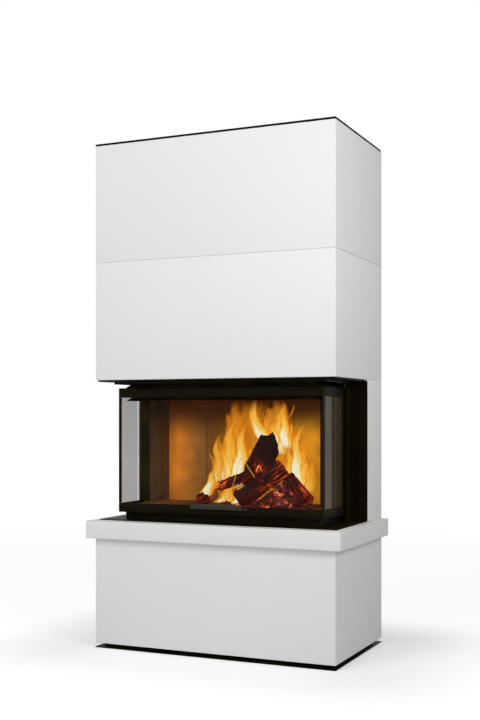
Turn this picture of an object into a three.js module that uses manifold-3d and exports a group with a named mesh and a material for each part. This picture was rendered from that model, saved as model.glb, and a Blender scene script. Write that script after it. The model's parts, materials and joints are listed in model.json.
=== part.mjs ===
// A stove in a stacked white surround, with a three-sided glazed door that lifts into the hood.
// Millimetres, +Z up, front towards -Y. The origin lies on the floor under the middle of the footprint.
import * as THREE from "three";
import { mergeVertices } from "three/addons/utils/BufferGeometryUtils.js";
import Module from "manifold-3d";

const wasm = await Module();
wasm.setup();

// ---------------------------------------------------------------- driving dimensions

// Fits
const SEAT_GAP = 0.3; // between pieces that rest on or against each other
const BORE_GAP = 0.3; // radial play of an axle or shaft in its hole
const SIDE_PLAY = 1; // sideways play of pieces that run past each other
const OVERLAP = 1; // how far joined shapes of one piece reach into each other

// Surround
const WALL = 40;
const CORNER_BEVEL = 4;
const EDGE_BEVEL = 1.5;
const FLOOR_PLATE_T = 4;
const BASE_GAP = 15;
const PEDESTAL_H = 438;
const COLLAR_T = 73;
const COLLAR_OVERHANG = 30;
const COLLAR_BAND = 110;
const HOOD_LOWER_H = 489;
const HOOD_UPPER_H = 488;
const TOP_PLATE_T = 8;
const TOP_PLATE_INSET = 8;
const COLUMN_DEPTH = 194;

// Spaces around the door
const DOOR_SIDE_GAP = 34;
const DOOR_FRONT_GAP = 26;
const DOOR_BOTTOM_GAP = 33;
const DOOR_TOP_GAP = 33;

// Sheet metal of the surround
const SHEET = 2.5;
const TRAY_T = 3;
const TRAY_SIDE_INSET = 5;
const TRAY_FRONT_INSET = 25;
const CHEEK_FLANGE = 20;
const CHEEK_STANDOFF = 46;
const CARRIER_T = 6.7;
const CARRIER_INSET = 8;
const CARRIER_SLOT_GAP = 12;
const CARRIER_LIP_H = 10;
const CARRIER_STIFFENER_H = 40;
const CARRIER_REAR_BAND = 118;
const REAR_COVER_SETBACK = 4;
const REAR_FLANGE = 20;
const VENT_SLOT_W = 8;
const VENT_SLOT_L = 110;
const VENT_SLOT_PITCH = 24;
const VENT_EDGE = 60;

// Stand
const BASE_INSET = 30;
const BASE_RAIL = 40;
const STAND_LEG = 50;
const STAND_LEG_T = 5;
const STAND_SIDE_GAP = 25;
const STAND_RING_H = 40;
const STAND_SETBACK = 20;

// Door
const DOOR_WIDTH = 912;
const DOOR_H = 519;
const DOOR_SIDE_DEPTH = 247;
const RAIL_DEPTH = 20;
const TOP_RAIL_H = 39;
const BOTTOM_RAIL_H = 37;
const RAIL_SHEET = 3;
const GLASS_T = 4;
const GLASS_IN_RAIL = 15;
const BEAD_FRONT = 4;
const BEAD_SIDE = 22;
const BEAD_SHEET = 2.5;
const HANDLE_L = 228;
const HANDLE_H = 21;
const HANDLE_T = 4;
const HANDLE_STANDOFF = 13;
const HANDLE_RISE = 25;
const HANDLE_FOOT_L = 22;

// Lift
const GUIDE_RUN_GAP = 3;
const GUIDE_DEPTH = 34;
const GUIDE_WIDTH = 32;
const GUIDE_SLOT = 12;
const GUIDE_TOP_DROP = 70;
const CARRIAGE_T = 8;
const CARRIAGE_END = 7;
const CARRIAGE_REACH = 28;
const ROLLER_W = 7;
const ROLLER_END = 50;
const AXLE_R = 5;
const CHAIN_PITCH = 25.4;
const CHAIN_ROLLER_R = 7.5;
const CHAIN_INNER_W = 8.4;
const CHAIN_PLATE_T = 2.2;
const CHAIN_PLATE_HALF = 6.8;
const CHAIN_WAIST_HALF = 4.6;
const CHAIN_ROD_R = 3;
const CHAIN_ROD_MIN = 28;
const CHAIN_PLATE_EDGE = [[0.18, CHAIN_PLATE_HALF], [0.5, CHAIN_WAIST_HALF], [0.82, CHAIN_PLATE_HALF]];
const SPROCKET_TEETH = 12;
const SPROCKET_T = 6;
const SPROCKET_TIP = 4.5;
const SPROCKET_RISE = 78;
const TOOTH_TIP_SHARE = 0.2; // of half a tooth
const HUB_R = 18;
const HUB_L = 20;
const SHAFT_R = 10;
const SHAFT_END = 6;
const BEARING_EDGE = 22;
const COUNTERWEIGHT_W = 32;
const COUNTERWEIGHT_D = 70;
const COUNTERWEIGHT_H = 500;
const COUNTERWEIGHT_DROP = 95;

// Insert
const SEAL_GAP = 2;
const SEAL_T = 1.4;
const SEAL_H = 15;
const SEAL_FROM_EDGE = 12;
const BODY_SHEET = 3;
const SIDE_WINDOW = 124;
const FIREBOX_INSET = 44;
const FIREBOX_DEPTH = 183;
const SHELL_T = 4;
const SHELL_MARGIN = 3;
const BACK_LINING_T = 20;
const SIDE_LINING_T = 30;
const BACK_JOINT_SHARE = 0.527; // of the firebox's half width
const LINING_GROOVE = 3;
const LINING_GROOVE_FROM_BACK = 70;
const LINING_TOP_GAP = 3;
const BRICK_T = 30;
const SILL_RISE = 6;
const SHELF_T = 4;
const LINTEL_FLANGE = 24;
const DEFLECTOR_DROP = 14;
const DEFLECTOR_T = 2.5;
const GRATE_W = 300;
const GRATE_D = 190;
const GRATE_SETBACK = 83;
const GRATE_RIM = 10;
const GRATE_TOP_T = 9;
const GRATE_BAR_PITCH = 20;
const GRATE_SLOT_W = 9;
const PIT_WALL = 3;
const ASH_PAN_GAP = 3;
const ASH_PAN_WALL = 1.5;
const ASH_PAN_H = 21;
const BAFFLE_T = 25;
const BAFFLE_THROAT = 150;
const DOME_H = 165;
const DOME_TOP_W = 230;
const SPIGOT_H = 40;
const FLUE_R = 90;
const FLUE_T = 2.5;
const FLUE_RISE = 20;
const ELBOW_R = 120;
const FLUE_HOLE_GAP = 3;

// Firewood
const LOG_GAP = 0.4;
const LOG_END_BEVEL = 0.12; // of the log's radius
const BARK_STEPS = 6;
const BARK_WAVES = 3;
const BARK_SWELL = 0.05; // of the log's radius
const SPLIT_CORNERS = [[-0.55, -0.62], [0.1, -0.8], [0.75, -0.5]]; // shares of the log's radius

// Steps of round shapes
const CURVE_STEPS = 10;
const FLUE_STEPS = 14;
const SPIGOT_SIDES = 24;
const WHEEL_SIDES = 20;
const AXLE_SIDES = 16;
const SMALL_SIDES = 8;
const SEAT_STEPS = 2;

// Air slide
const AIR_TAB_W = 56;
const AIR_TAB_T = 4;
const AIR_TAB_OUT = 8;
const AIR_TAB_FROM_END = 34;
const AIR_TRAVEL = 100;
const AIR_TAB_BELOW_DOOR = 13;
const AIR_PLATE_W = 150;
const AIR_PLATE_D = 36;

// ---------------------------------------------------------------- worked-out places

const halfDoor = DOOR_WIDTH / 2;
const halfHoodInside = halfDoor + DOOR_SIDE_GAP;
const halfSurround = halfHoodInside + WALL;
const halfCollar = halfSurround + COLLAR_OVERHANG;
const halfStand = halfCollar - COLLAR_BAND - STAND_SIDE_GAP;

const surroundDepth =
  WALL + DOOR_FRONT_GAP + DOOR_SIDE_DEPTH + GUIDE_RUN_GAP + GUIDE_DEPTH + CHEEK_STANDOFF + COLUMN_DEPTH;
const yFront = COLLAR_OVERHANG / 2 - surroundDepth / 2;
const yCollar = yFront - COLLAR_OVERHANG;
const yBack = yFront + surroundDepth;
const yDoor = yFront + WALL + DOOR_FRONT_GAP;
const yDoorEnd = yDoor + DOOR_SIDE_DEPTH;
const yGuide = yDoorEnd + GUIDE_RUN_GAP;
const yGuideBack = yGuide + GUIDE_DEPTH;
const yCheek = yGuideBack + CHEEK_STANDOFF;

const zPedestal = FLOOR_PLATE_T + BASE_GAP;
const zCollar = zPedestal + PEDESTAL_H;
const zShelf = zCollar + COLLAR_T;
const zTray = zShelf + SEAT_GAP + TRAY_T;
const zDoor = zShelf + DOOR_BOTTOM_GAP;
const zDoorTop = zDoor + DOOR_H;
const zHood = zDoorTop + DOOR_TOP_GAP;
const zCarrier = zHood - SEAT_GAP - CARRIER_T;
const zJoint = zHood + HOOD_LOWER_H;
const zLid = zJoint + HOOD_UPPER_H;
const zTop = zLid + TOP_PLATE_T;
const zWindow = zDoor + BOTTOM_RAIL_H;
const zWindowTop = zDoorTop - TOP_RAIL_H;

const bodyInset = RAIL_DEPTH + SEAL_GAP;
const halfBody = halfDoor - bodyInset;
const yBody = yDoor + bodyInset;
const yPost = yBody + SIDE_WINDOW;
const halfFirebox = halfBody - FIREBOX_INSET;
const yLining = yPost + FIREBOX_DEPTH;
const halfShellInside = halfFirebox + SIDE_LINING_T + SEAT_GAP;
const halfShell = halfShellInside + SHELL_T;
const yShellInside = yLining + BACK_LINING_T + SEAT_GAP;
const yShellBack = yShellInside + SHELL_T;
const zBase = zTray + SEAT_GAP;
const zBrickTop = zWindow - SILL_RISE;
const zShelfTop = zBrickTop - BRICK_T;
const zLining = zBrickTop + SEAT_GAP;
const zLiningTop = zWindowTop - LINING_TOP_GAP;
const zDome = zDoorTop + SHELL_MARGIN;
const zSpigot = zDome + DOME_H;
const zElbow = zSpigot + SPIGOT_H + SEAT_GAP;
const zFlueOut = zElbow + FLUE_RISE + ELBOW_R;
const yFlue = (yBody + yShellBack) / 2;

const stroke = DOOR_H - TOP_RAIL_H;
const xLift = halfDoor - CARRIAGE_T / 2;
const xGuideIn = xLift - GUIDE_WIDTH / 2;
const xGuideOut = xLift + GUIDE_WIDTH / 2;
const yRoller = (yGuide + yGuideBack) / 2;
const rollerR = GUIDE_DEPTH / 2 - SHEET - SEAT_GAP;
const zCarriage = zDoor + CARRIAGE_END + BOTTOM_RAIL_H / 2;
const zCarriageTop = zDoorTop - CARRIAGE_END;
const zShaft = zDoorTop + stroke + SPROCKET_RISE;
const pitchR = CHAIN_PITCH / (2 * Math.sin(Math.PI / SPROCKET_TEETH));
const yShaft = yRoller + pitchR;
const yRearRun = yShaft + pitchR;
const zGuideTop = zShaft - GUIDE_TOP_DROP;
const zWeightTop = zShaft - COUNTERWEIGHT_DROP;

// ---------------------------------------------------------------- shape tools

function outline(points) {
  return new THREE.Shape(points.map(([x, y]) => new THREE.Vector2(x, y)));
}

function rectangle(x0, y0, x1, y1) {
  return outline([[x0, y0], [x1, y0], [x1, y1], [x0, y1]]);
}

function ring(outer, ...holes) {
  outer.holes.push(...holes);
  return outer;
}

function circle(x, y, radius) {
  const round = new THREE.Shape();
  round.absarc(x, y, radius, 0, 2 * Math.PI, false);
  return round;
}

// A plan outline raised along +Z from z = 0, with an optional bevel along its top and bottom edges.
function raised(shape, height, bevel = 0) {
  const geometry = new THREE.ExtrudeGeometry(shape, {
    depth: height - 2 * bevel,
    bevelEnabled: bevel > 0,
    bevelThickness: bevel,
    bevelSize: bevel,
    bevelOffset: -bevel,
    bevelSegments: 1,
    curveSegments: CURVE_STEPS,
  });
  return geometry.translate(0, 0, bevel);
}

// An outline drawn in X and Z, given a thickness along +Y from y.
function upright(shape, y, thickness) {
  return raised(shape, thickness).rotateX(Math.PI / 2).translate(0, y + thickness, 0);
}

// An outline drawn in Y and Z, given a thickness along +X from x.
function sideways(shape, x, thickness) {
  return raised(shape, thickness).rotateX(Math.PI / 2).rotateZ(Math.PI / 2).translate(x, 0, 0);
}

function block(x0, x1, y0, y1, z0, z1) {
  const box = new THREE.BoxGeometry(x1 - x0, y1 - y0, z1 - z0);
  return box.translate((x0 + x1) / 2, (y0 + y1) / 2, (z0 + z1) / 2);
}

// A round bar along X between two places.
function barAlongX(x0, x1, y, z, radius, sides) {
  const bar = new THREE.CylinderGeometry(radius, radius, x1 - x0, sides);
  return bar.rotateZ(Math.PI / 2).translate((x0 + x1) / 2, y, z);
}

// A closed surface from corner places and triangles, turned so that its faces point out.
function closedSurface(corners, triangles) {
  let volume = 0;
  const [a, b, c] = [new THREE.Vector3(), new THREE.Vector3(), new THREE.Vector3()];
  for (const [i, j, k] of triangles) {
    volume += a.fromArray(corners[i]).dot(b.fromArray(corners[j]).cross(c.fromArray(corners[k])));
  }
  const turned = volume < 0 ? triangles.map(([i, j, k]) => [i, k, j]) : triangles;
  const geometry = new THREE.BufferGeometry();
  geometry.setAttribute("position", new THREE.Float32BufferAttribute(corners.flat(), 3));
  geometry.setIndex(turned.flat());
  return geometry;
}

// A section carried round the left side, the front and the right side of a rectangle, with mitred corners.
// Each section point is [inset from the rectangle, height].
function aroundFront(section, half, yStart, yEnd) {
  const stations = [
    (inset) => [inset - half, yEnd],
    (inset) => [inset - half, yStart + inset],
    (inset) => [half - inset, yStart + inset],
    (inset) => [half - inset, yEnd],
  ];
  const corners = stations.flatMap((place) => section.map(([inset, z]) => [...place(inset), z]));
  const count = section.length;
  const contour = section.map(([inset, z]) => new THREE.Vector2(inset, z));
  const cap = THREE.ShapeUtils.triangulateShape(contour, []);
  const clockwise = THREE.ShapeUtils.isClockWise(contour);
  const triangles = [];
  for (let station = 0; station < stations.length - 1; station++) {
    for (let i = 0; i < count; i++) {
      const near = station * count + i;
      const next = station * count + ((i + 1) % count);
      triangles.push([near, next, next + count], [near, next + count, near + count]);
    }
  }
  const last = (stations.length - 1) * count;
  for (const [i, j, k] of cap) {
    const [p, q] = clockwise ? [j, k] : [k, j];
    triangles.push([i, p, q], [last + i, last + q, last + p]);
  }
  return closedSurface(corners, triangles);
}

// A box whose top rectangle differs from its bottom one. Each rectangle is [x0, x1, y0, y1].
function tapered(bottom, zBottom, top, zHigh) {
  const corner = ([x0, x1, y0, y1], z) => [[x0, y0, z], [x1, y0, z], [x1, y1, z], [x0, y1, z]];
  const corners = [...corner(bottom, zBottom), ...corner(top, zHigh)];
  const triangles = [[0, 2, 1], [0, 3, 2], [4, 5, 6], [4, 6, 7]];
  for (let i = 0; i < 4; i++) {
    const next = (i + 1) % 4;
    triangles.push([i, next, next + 4], [i, next + 4, i + 4]);
  }
  return closedSurface(corners, triangles);
}

function solid(geometry) {
  const bare = geometry.clone();
  bare.deleteAttribute("normal");
  bare.deleteAttribute("uv");
  const merged = mergeVertices(bare, 1e-4);
  const vertProperties = new Float32Array(merged.getAttribute("position").array);
  const triVerts = new Uint32Array(merged.index.array);
  return new wasm.Manifold(new wasm.Mesh({ numProp: 3, vertProperties, triVerts }));
}

function geometryOf(manifold) {
  const { vertProperties, triVerts } = manifold.getMesh();
  const geometry = new THREE.BufferGeometry();
  geometry.setAttribute("position", new THREE.BufferAttribute(vertProperties, 3));
  geometry.setIndex(new THREE.BufferAttribute(triVerts, 1));
  return geometry;
}

function join(...geometries) {
  return geometryOf(geometries.map(solid).reduce((sum, next) => sum.add(next)));
}

function cut(geometry, ...tools) {
  return geometryOf(tools.map(solid).reduce((rest, tool) => rest.subtract(tool), solid(geometry)));
}

// ---------------------------------------------------------------- finishes

const FINISHES = {
  plaster: { color: 0xe9e9e7, roughness: 0.75, metalness: 0 },
  blackSteel: { color: 0x17150f, roughness: 0.5, metalness: 0.3 },
  greySteel: { color: 0x6d6a66, roughness: 0.45, metalness: 0.8 },
  galvanised: { color: 0x9a9c9c, roughness: 0.4, metalness: 0.8 },
  castIron: { color: 0x2b2927, roughness: 0.7, metalness: 0.4 },
  lining: { color: 0x9a7a58, roughness: 0.9, metalness: 0 },
  glass: { color: 0xc9c4bc, roughness: 0.05, metalness: 0, transparent: true, opacity: 0.3 },
  rope: { color: 0x3a3835, roughness: 0.95, metalness: 0 },
  bark: { color: 0x2a1712, roughness: 0.9, metalness: 0 },
};

const stove = new THREE.Group();

function add(name, geometry, finish, z = 0) {
  const mesh = new THREE.Mesh(geometry, new THREE.MeshStandardMaterial(FINISHES[finish]));
  mesh.name = name;
  mesh.position.z = z;
  stove.add(mesh);
  return mesh;
}

// The same piece on the right, as drawn, and mirrored on the left.
function addPair(name, geometry, finish, z = 0) {
  add("right_" + name, geometry, finish, z);
  add("left_" + name, geometry.clone(), finish, z).scale.x = -1;
}

// ---------------------------------------------------------------- surround

// U-shaped plan, open at the back, with its two front corners cut off.
function surroundPlan(half, yStart, wall) {
  const inner = half - wall;
  const c = CORNER_BEVEL;
  return outline([
    [-half, yStart + c], [-half + c, yStart], [half - c, yStart], [half, yStart + c],
    [half, yBack], [inner, yBack], [inner, yStart + wall], [-inner, yStart + wall],
    [-inner, yBack], [-half, yBack],
  ]);
}

function buildSurround() {
  const floorPlate = rectangle(-halfSurround, yFront, halfSurround, yBack);
  add("floor_plate", raised(floorPlate, FLOOR_PLATE_T), "blackSteel");

  const module = surroundPlan(halfSurround, yFront, WALL);
  add("pedestal", raised(module, PEDESTAL_H - SEAT_GAP, EDGE_BEVEL), "plaster", zPedestal);
  add("hood_lower", raised(module, HOOD_LOWER_H - SEAT_GAP, EDGE_BEVEL), "plaster", zHood);
  add("hood_upper", raised(module, HOOD_UPPER_H - SEAT_GAP, EDGE_BEVEL), "plaster", zJoint);

  const collar = surroundPlan(halfCollar, yCollar, COLLAR_BAND);
  add("collar", raised(collar, COLLAR_T - SEAT_GAP, EDGE_BEVEL), "plaster", zCollar + SEAT_GAP);

  const column = rectangle(halfHoodInside, yCheek, halfSurround, yBack);
  const columnH = zHood - zShelf - 2 * SEAT_GAP;
  addPair("column", raised(column, columnH, EDGE_BEVEL), "plaster", zShelf + SEAT_GAP);
}

function buildHearthTray() {
  const half = halfSurround - TRAY_SIDE_INSET;
  const yEnd = yCheek - SEAT_GAP;
  const sheet = rectangle(-half, yFront + TRAY_FRONT_INSET, half, yEnd);
  add("hearth_tray", raised(sheet, TRAY_T), "blackSteel", zShelf + SEAT_GAP);
}

function buildCheekPlates() {
  const inner = halfHoodInside - SEAT_GAP;
  const outer = halfSurround - SEAT_GAP;
  const yFace = yCheek - SEAT_GAP;
  const angle = outline([
    [xGuideOut - SHEET, yFace - SHEET], [outer, yFace - SHEET], [outer, yFace],
    [inner, yFace], [inner, yFace + CHEEK_FLANGE], [inner - SHEET, yFace + CHEEK_FLANGE],
    [inner - SHEET, yFace], [xGuideOut - SHEET, yFace],
  ]);
  const height = zCarrier - zTray - 2 * SEAT_GAP;
  addPair("cheek_plate", raised(angle, height), "blackSteel", zTray + SEAT_GAP);
}

// The plate that carries the hood: a band under its walls, a lip round the door slot,
// and an upstand inside the wall.
function buildHoodCarrier() {
  const half = halfSurround - CARRIER_INSET;
  const slotHalf = halfDoor + CARRIER_SLOT_GAP;
  const ySlot = yDoor - CARRIER_SLOT_GAP + SEAL_GAP;
  const rearHalf = halfHoodInside - SEAT_GAP;
  const yRear = yBack - REAR_COVER_SETBACK - SEAT_GAP;
  const plate = outline([
    [-half, yFront + CARRIER_INSET], [half, yFront + CARRIER_INSET], [half, yCheek - SEAT_GAP],
    [rearHalf, yCheek - SEAT_GAP], [rearHalf, yRear], [-rearHalf, yRear],
    [-rearHalf, yCheek - SEAT_GAP], [-half, yCheek - SEAT_GAP],
  ]);
  const band = ring(plate, rectangle(-slotHalf, ySlot, slotHalf, yRear - CARRIER_REAR_BAND));
  const lipTop = OVERLAP;
  const lip = [[-SHEET, -CARRIER_LIP_H], [0, -CARRIER_LIP_H], [0, lipTop], [-SHEET, lipTop]];
  const wallInset = halfSurround - halfHoodInside + SEAT_GAP;
  const upstand = [
    [wallInset, CARRIER_T - OVERLAP], [wallInset + SHEET, CARRIER_T - OVERLAP],
    [wallInset + SHEET, CARRIER_T + CARRIER_STIFFENER_H], [wallInset, CARRIER_T + CARRIER_STIFFENER_H],
  ];
  const yFold = yCheek - CHEEK_FLANGE;
  const geometry = join(
    raised(band, CARRIER_T),
    aroundFront(lip, slotHalf, ySlot, yFold),
    aroundFront(upstand, halfSurround, yFront, yFold),
  );
  add("hood_carrier", geometry, "blackSteel", zCarrier);
}

// A row of cutting blocks centred on x = 0. The last argument makes one block between two x places.
function slotRow(halfWidth, pitch, slotWidth, blockBetween) {
  const count = Math.floor((2 * halfWidth - slotWidth) / pitch);
  const slots = [];
  for (let i = 0; i <= count; i++) {
    const x = (i - count / 2) * pitch;
    slots.push(blockBetween(x - slotWidth / 2, x + slotWidth / 2));
  }
  return slots;
}

function buildTopPlate() {
  const half = halfSurround - TOP_PLATE_INSET;
  const yStart = yFront + TOP_PLATE_INSET;
  const yEnd = yBack - TOP_PLATE_INSET;
  const ySlot = yEnd - VENT_EDGE;
  const folded = TOP_PLATE_T - SEAT_GAP;
  const sheet = block(-half, half, yStart, yEnd, folded - SHEET, folded);
  const lip = [[0, 0], [SHEET, 0], [SHEET, folded - OVERLAP], [0, folded - OVERLAP]];
  const slots = slotRow(halfHoodInside / 2, VENT_SLOT_PITCH, VENT_SLOT_W, (x0, x1) =>
    block(x0, x1, ySlot - VENT_SLOT_L, ySlot, 0, TOP_PLATE_T));
  const geometry = cut(join(sheet, aroundFront(lip, half, yStart, yEnd)), ...slots);
  add("top_plate", geometry, "blackSteel", zTop - folded);
}

// A sheet between the rear ends of the walls, with a flange at each side and a row of slots from slotLow up.
function rearCover(height, slotLow, ...holes) {
  const half = halfHoodInside - SEAT_GAP;
  const y = yBack - REAR_COVER_SETBACK;
  const flange = (x) => block(x, x + SHEET, y - REAR_FLANGE, y + SHEET - OVERLAP, 0, height);
  const cover = join(
    upright(ring(rectangle(-half, 0, half, height), ...holes), y, SHEET),
    flange(-half),
    flange(half - SHEET),
  );
  const slots = slotRow(halfHoodInside / 2, VENT_SLOT_PITCH, VENT_SLOT_W, (x0, x1) =>
    block(x0, x1, y - OVERLAP, y + SHEET + OVERLAP, slotLow, slotLow + VENT_SLOT_L));
  return cut(cover, ...slots);
}

function buildRearCovers() {
  const hoodH = zLid - zHood - 2 * SEAT_GAP;
  const flueHole = circle(0, zFlueOut - zHood - SEAT_GAP, FLUE_R + FLUE_HOLE_GAP);
  const hood = rearCover(hoodH, hoodH - VENT_EDGE - VENT_SLOT_L, flueHole);
  add("rear_cover_hood", hood, "galvanised", zHood + SEAT_GAP);

  const middleH = zCarrier - zShelf - 2 * SEAT_GAP;
  add("rear_cover_middle", rearCover(middleH, VENT_EDGE), "galvanised", zShelf + SEAT_GAP);
}

// ---------------------------------------------------------------- stand

// An angle profile standing in one corner of the stand. The signs choose the corner.
function standLeg(signX, y, signY, low, high) {
  const x = signX * halfStand;
  const [t, reach] = [STAND_LEG_T, STAND_LEG];
  const span = (from, to) => [Math.min(from, to), Math.max(from, to)];
  return join(
    block(...span(x, x - signX * reach), ...span(y, y - signY * t), low, high),
    block(...span(x, x - signX * t), ...span(y, y - signY * reach), low, high),
  );
}

function buildStand() {
  const half = halfSurround - BASE_INSET;
  const y0 = yFront + BASE_INSET;
  const y1 = yBack - BASE_INSET;
  const railIn = halfStand - STAND_LEG;
  const low = FLOOR_PLATE_T + SEAT_GAP;
  const high = zPedestal - SEAT_GAP;
  const openings = [[-railIn, railIn], [-half + BASE_RAIL, -halfStand], [halfStand, half - BASE_RAIL]];
  const base = cut(
    block(-half, half, y0, y1, low, high),
    ...openings.map(([x0, x1]) => block(x0, x1, y0 + BASE_RAIL, y1 - BASE_RAIL, 0, zPedestal)),
  );
  const near = yBody + STAND_SETBACK;
  const far = yShellBack - STAND_SETBACK;
  const ringLow = zShelf - STAND_RING_H;
  const topRing = ring(
    rectangle(-halfStand, near, halfStand, far),
    rectangle(-railIn, near + STAND_LEG, railIn, far - STAND_LEG),
  );
  const legs = [[-1, near, -1], [1, near, -1], [-1, far, 1], [1, far, 1]].map(([signX, y, signY]) =>
    standLeg(signX, y, signY, high - OVERLAP, ringLow + OVERLAP));
  const geometry = join(base, raised(topRing, STAND_RING_H).translate(0, 0, ringLow), ...legs);
  add("insert_stand", geometry, "blackSteel");
}

// ---------------------------------------------------------------- insert

const yGrate = yBody + GRATE_SETBACK;
const pitHalf = GRATE_W / 2 - GRATE_RIM;
const yPit = yGrate + GRATE_RIM;
const yPitBack = yGrate + GRATE_D - GRATE_RIM;
const xTab = AIR_TAB_FROM_END - AIR_TAB_W / 2 - halfBody;
const zTab = zDoor - AIR_TAB_BELOW_DOOR;
const zTabLow = zTab - AIR_TAB_T / 2;
const zTabHigh = zTab + AIR_TAB_T / 2;

function buildInsertBase() {
  const t = BODY_SHEET;
  const outside = () => rectangle(-halfBody, yBody, halfBody, yShellBack);
  const wallPlan = ring(outside(), rectangle(-halfBody + t, yBody + t, halfBody - t, yShellBack - t));
  const pitOpening = () => rectangle(-pitHalf, yPit, pitHalf, yPitBack);
  const halfPit = pitHalf + PIT_WALL;
  const pitOutside = rectangle(-halfPit, yPit - PIT_WALL, halfPit, yPitBack + PIT_WALL);
  const pitLow = zBase + OVERLAP;
  const ledgeTop = zTabLow - SEAT_GAP;
  const ledgeEnd = xTab + AIR_PLATE_W + AIR_TRAVEL;
  const walls = join(
    raised(wallPlan, zWindow - zBase).translate(0, 0, zBase),
    raised(outside(), t).translate(0, 0, zBase),
    raised(ring(outside(), pitOpening()), SHELF_T).translate(0, 0, zShelfTop - SHELF_T),
    raised(ring(pitOutside, pitOpening()), zShelfTop - OVERLAP - pitLow).translate(0, 0, pitLow),
    block(-halfBody + OVERLAP, ledgeEnd, yBody + OVERLAP, yBody + t + AIR_PLATE_D, ledgeTop - t, ledgeTop),
  );
  const slotEnd = xTab + AIR_TAB_W + AIR_TRAVEL + SIDE_PLAY;
  const yInside = yBody + t + OVERLAP;
  const slot = block(xTab - SIDE_PLAY, slotEnd, yBody - OVERLAP, yInside, ledgeTop, zTabHigh + SIDE_PLAY);
  add("insert_base", cut(walls, slot), "blackSteel");
}

function buildAirSlide() {
  const yPlate = yBody + BODY_SHEET + OVERLAP;
  const yPlateBack = yBody + BODY_SHEET + AIR_PLATE_D - OVERLAP;
  const tab = block(xTab, xTab + AIR_TAB_W, yBody - AIR_TAB_OUT, yPlate + OVERLAP, zTabLow, zTabHigh);
  const plate = block(xTab, xTab + AIR_PLATE_W, yPlate, yPlateBack, zTabLow, zTabHigh);
  add("air_slide", join(tab, plate), "greySteel");
}

function buildHearth() {
  const x0 = SEAT_GAP / 2;
  const y0 = yBody + BODY_SHEET + SEAT_GAP;
  const y1 = yShellBack - BODY_SHEET - SEAT_GAP;
  const yGrateBack = yGrate + GRATE_D;
  const brick = outline([
    [x0, y0], [halfShellInside, y0], [halfShellInside, y1], [x0, y1],
    [x0, yGrateBack], [GRATE_W / 2, yGrateBack], [GRATE_W / 2, yGrate], [x0, yGrate],
  ]);
  addPair("hearth_brick", raised(brick, BRICK_T - SEAT_GAP), "lining", zShelfTop + SEAT_GAP);

  const half = GRATE_W / 2 - SEAT_GAP;
  const near = yGrate + SEAT_GAP;
  const far = yGrateBack - SEAT_GAP;
  const height = BRICK_T - SEAT_GAP;
  const rim = ring(
    rectangle(-half, near, half, far),
    rectangle(-half + GRATE_RIM, near + GRATE_RIM, half - GRATE_RIM, far - GRATE_RIM),
  );
  const deck = block(-half, half, near, far, height - GRATE_TOP_T, height);
  const slots = slotRow(half - 2 * GRATE_RIM, GRATE_BAR_PITCH, GRATE_SLOT_W, (left, right) =>
    block(left, right, near + 2 * GRATE_RIM, far - 2 * GRATE_RIM, 0, BRICK_T));
  add("grate", cut(join(raised(rim, height), deck), ...slots), "castIron", zShelfTop + SEAT_GAP);
}

function buildAshPan() {
  const half = pitHalf - ASH_PAN_GAP;
  const near = yPit + ASH_PAN_GAP;
  const far = yPitBack - ASH_PAN_GAP;
  const t = ASH_PAN_WALL;
  const hollow = block(-half + t, half - t, near + t, far - t, t, ASH_PAN_H + OVERLAP);
  const pan = cut(block(-half, half, near, far, 0, ASH_PAN_H), hollow);
  add("ash_pan", pan, "galvanised", zBase + BODY_SHEET + SEAT_GAP);
}

function buildFireboxShell() {
  const y0 = yPost;
  const y1 = yPost + SHELL_T;
  const plan = outline([
    [-halfBody, y0], [-halfFirebox, y0], [-halfFirebox, y1], [-halfShellInside, y1],
    [-halfShellInside, yShellInside], [halfShellInside, yShellInside],
    [halfShellInside, y1], [halfFirebox, y1],
    [halfFirebox, y0], [halfBody, y0], [halfBody, y1], [halfShell, y1],
    [halfShell, yShellBack], [-halfShell, yShellBack], [-halfShell, y1], [-halfBody, y1],
  ]);
  const height = zDome - zWindow - 2 * SEAT_GAP;
  add("firebox_shell", raised(plan, height), "blackSteel", zWindow + SEAT_GAP);
}

function buildLining() {
  const height = zLiningTop - zLining;
  const xJoint = BACK_JOINT_SHARE * halfFirebox;
  const backEdges = [-halfShellInside + SEAT_GAP, -xJoint, 0, xJoint, halfShellInside - SEAT_GAP];
  for (let i = 0; i < backEdges.length - 1; i++) {
    const [x0, x1] = [backEdges[i] + SEAT_GAP / 2, backEdges[i + 1] - SEAT_GAP / 2];
    const panel = rectangle(x0, yLining, x1, yLining + BACK_LINING_T);
    add("back_lining_" + (i + 1), raised(panel, height), "lining", zLining);
  }
  const y0 = yPost + SHELL_T + SEAT_GAP;
  const y1 = yLining - SEAT_GAP;
  const yGroove = yLining - LINING_GROOVE_FROM_BACK;
  const side = outline([
    [halfFirebox, y0], [halfFirebox + SIDE_LINING_T, y0],
    [halfFirebox + SIDE_LINING_T, y1], [halfFirebox, y1],
    [halfFirebox, yGroove + LINING_GROOVE], [halfFirebox + LINING_GROOVE, yGroove + LINING_GROOVE / 2],
    [halfFirebox, yGroove],
  ]);
  addPair("side_lining", raised(side, height), "lining", zLining);

  const yThroat = yBody + BAFFLE_THROAT;
  const slab = rectangle(
    -halfShellInside + 2 * SEAT_GAP, yThroat, halfShellInside - 2 * SEAT_GAP, yShellInside - SEAT_GAP,
  );
  add("baffle", raised(slab, BAFFLE_T), "lining", zLiningTop + SEAT_GAP);
}

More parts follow.
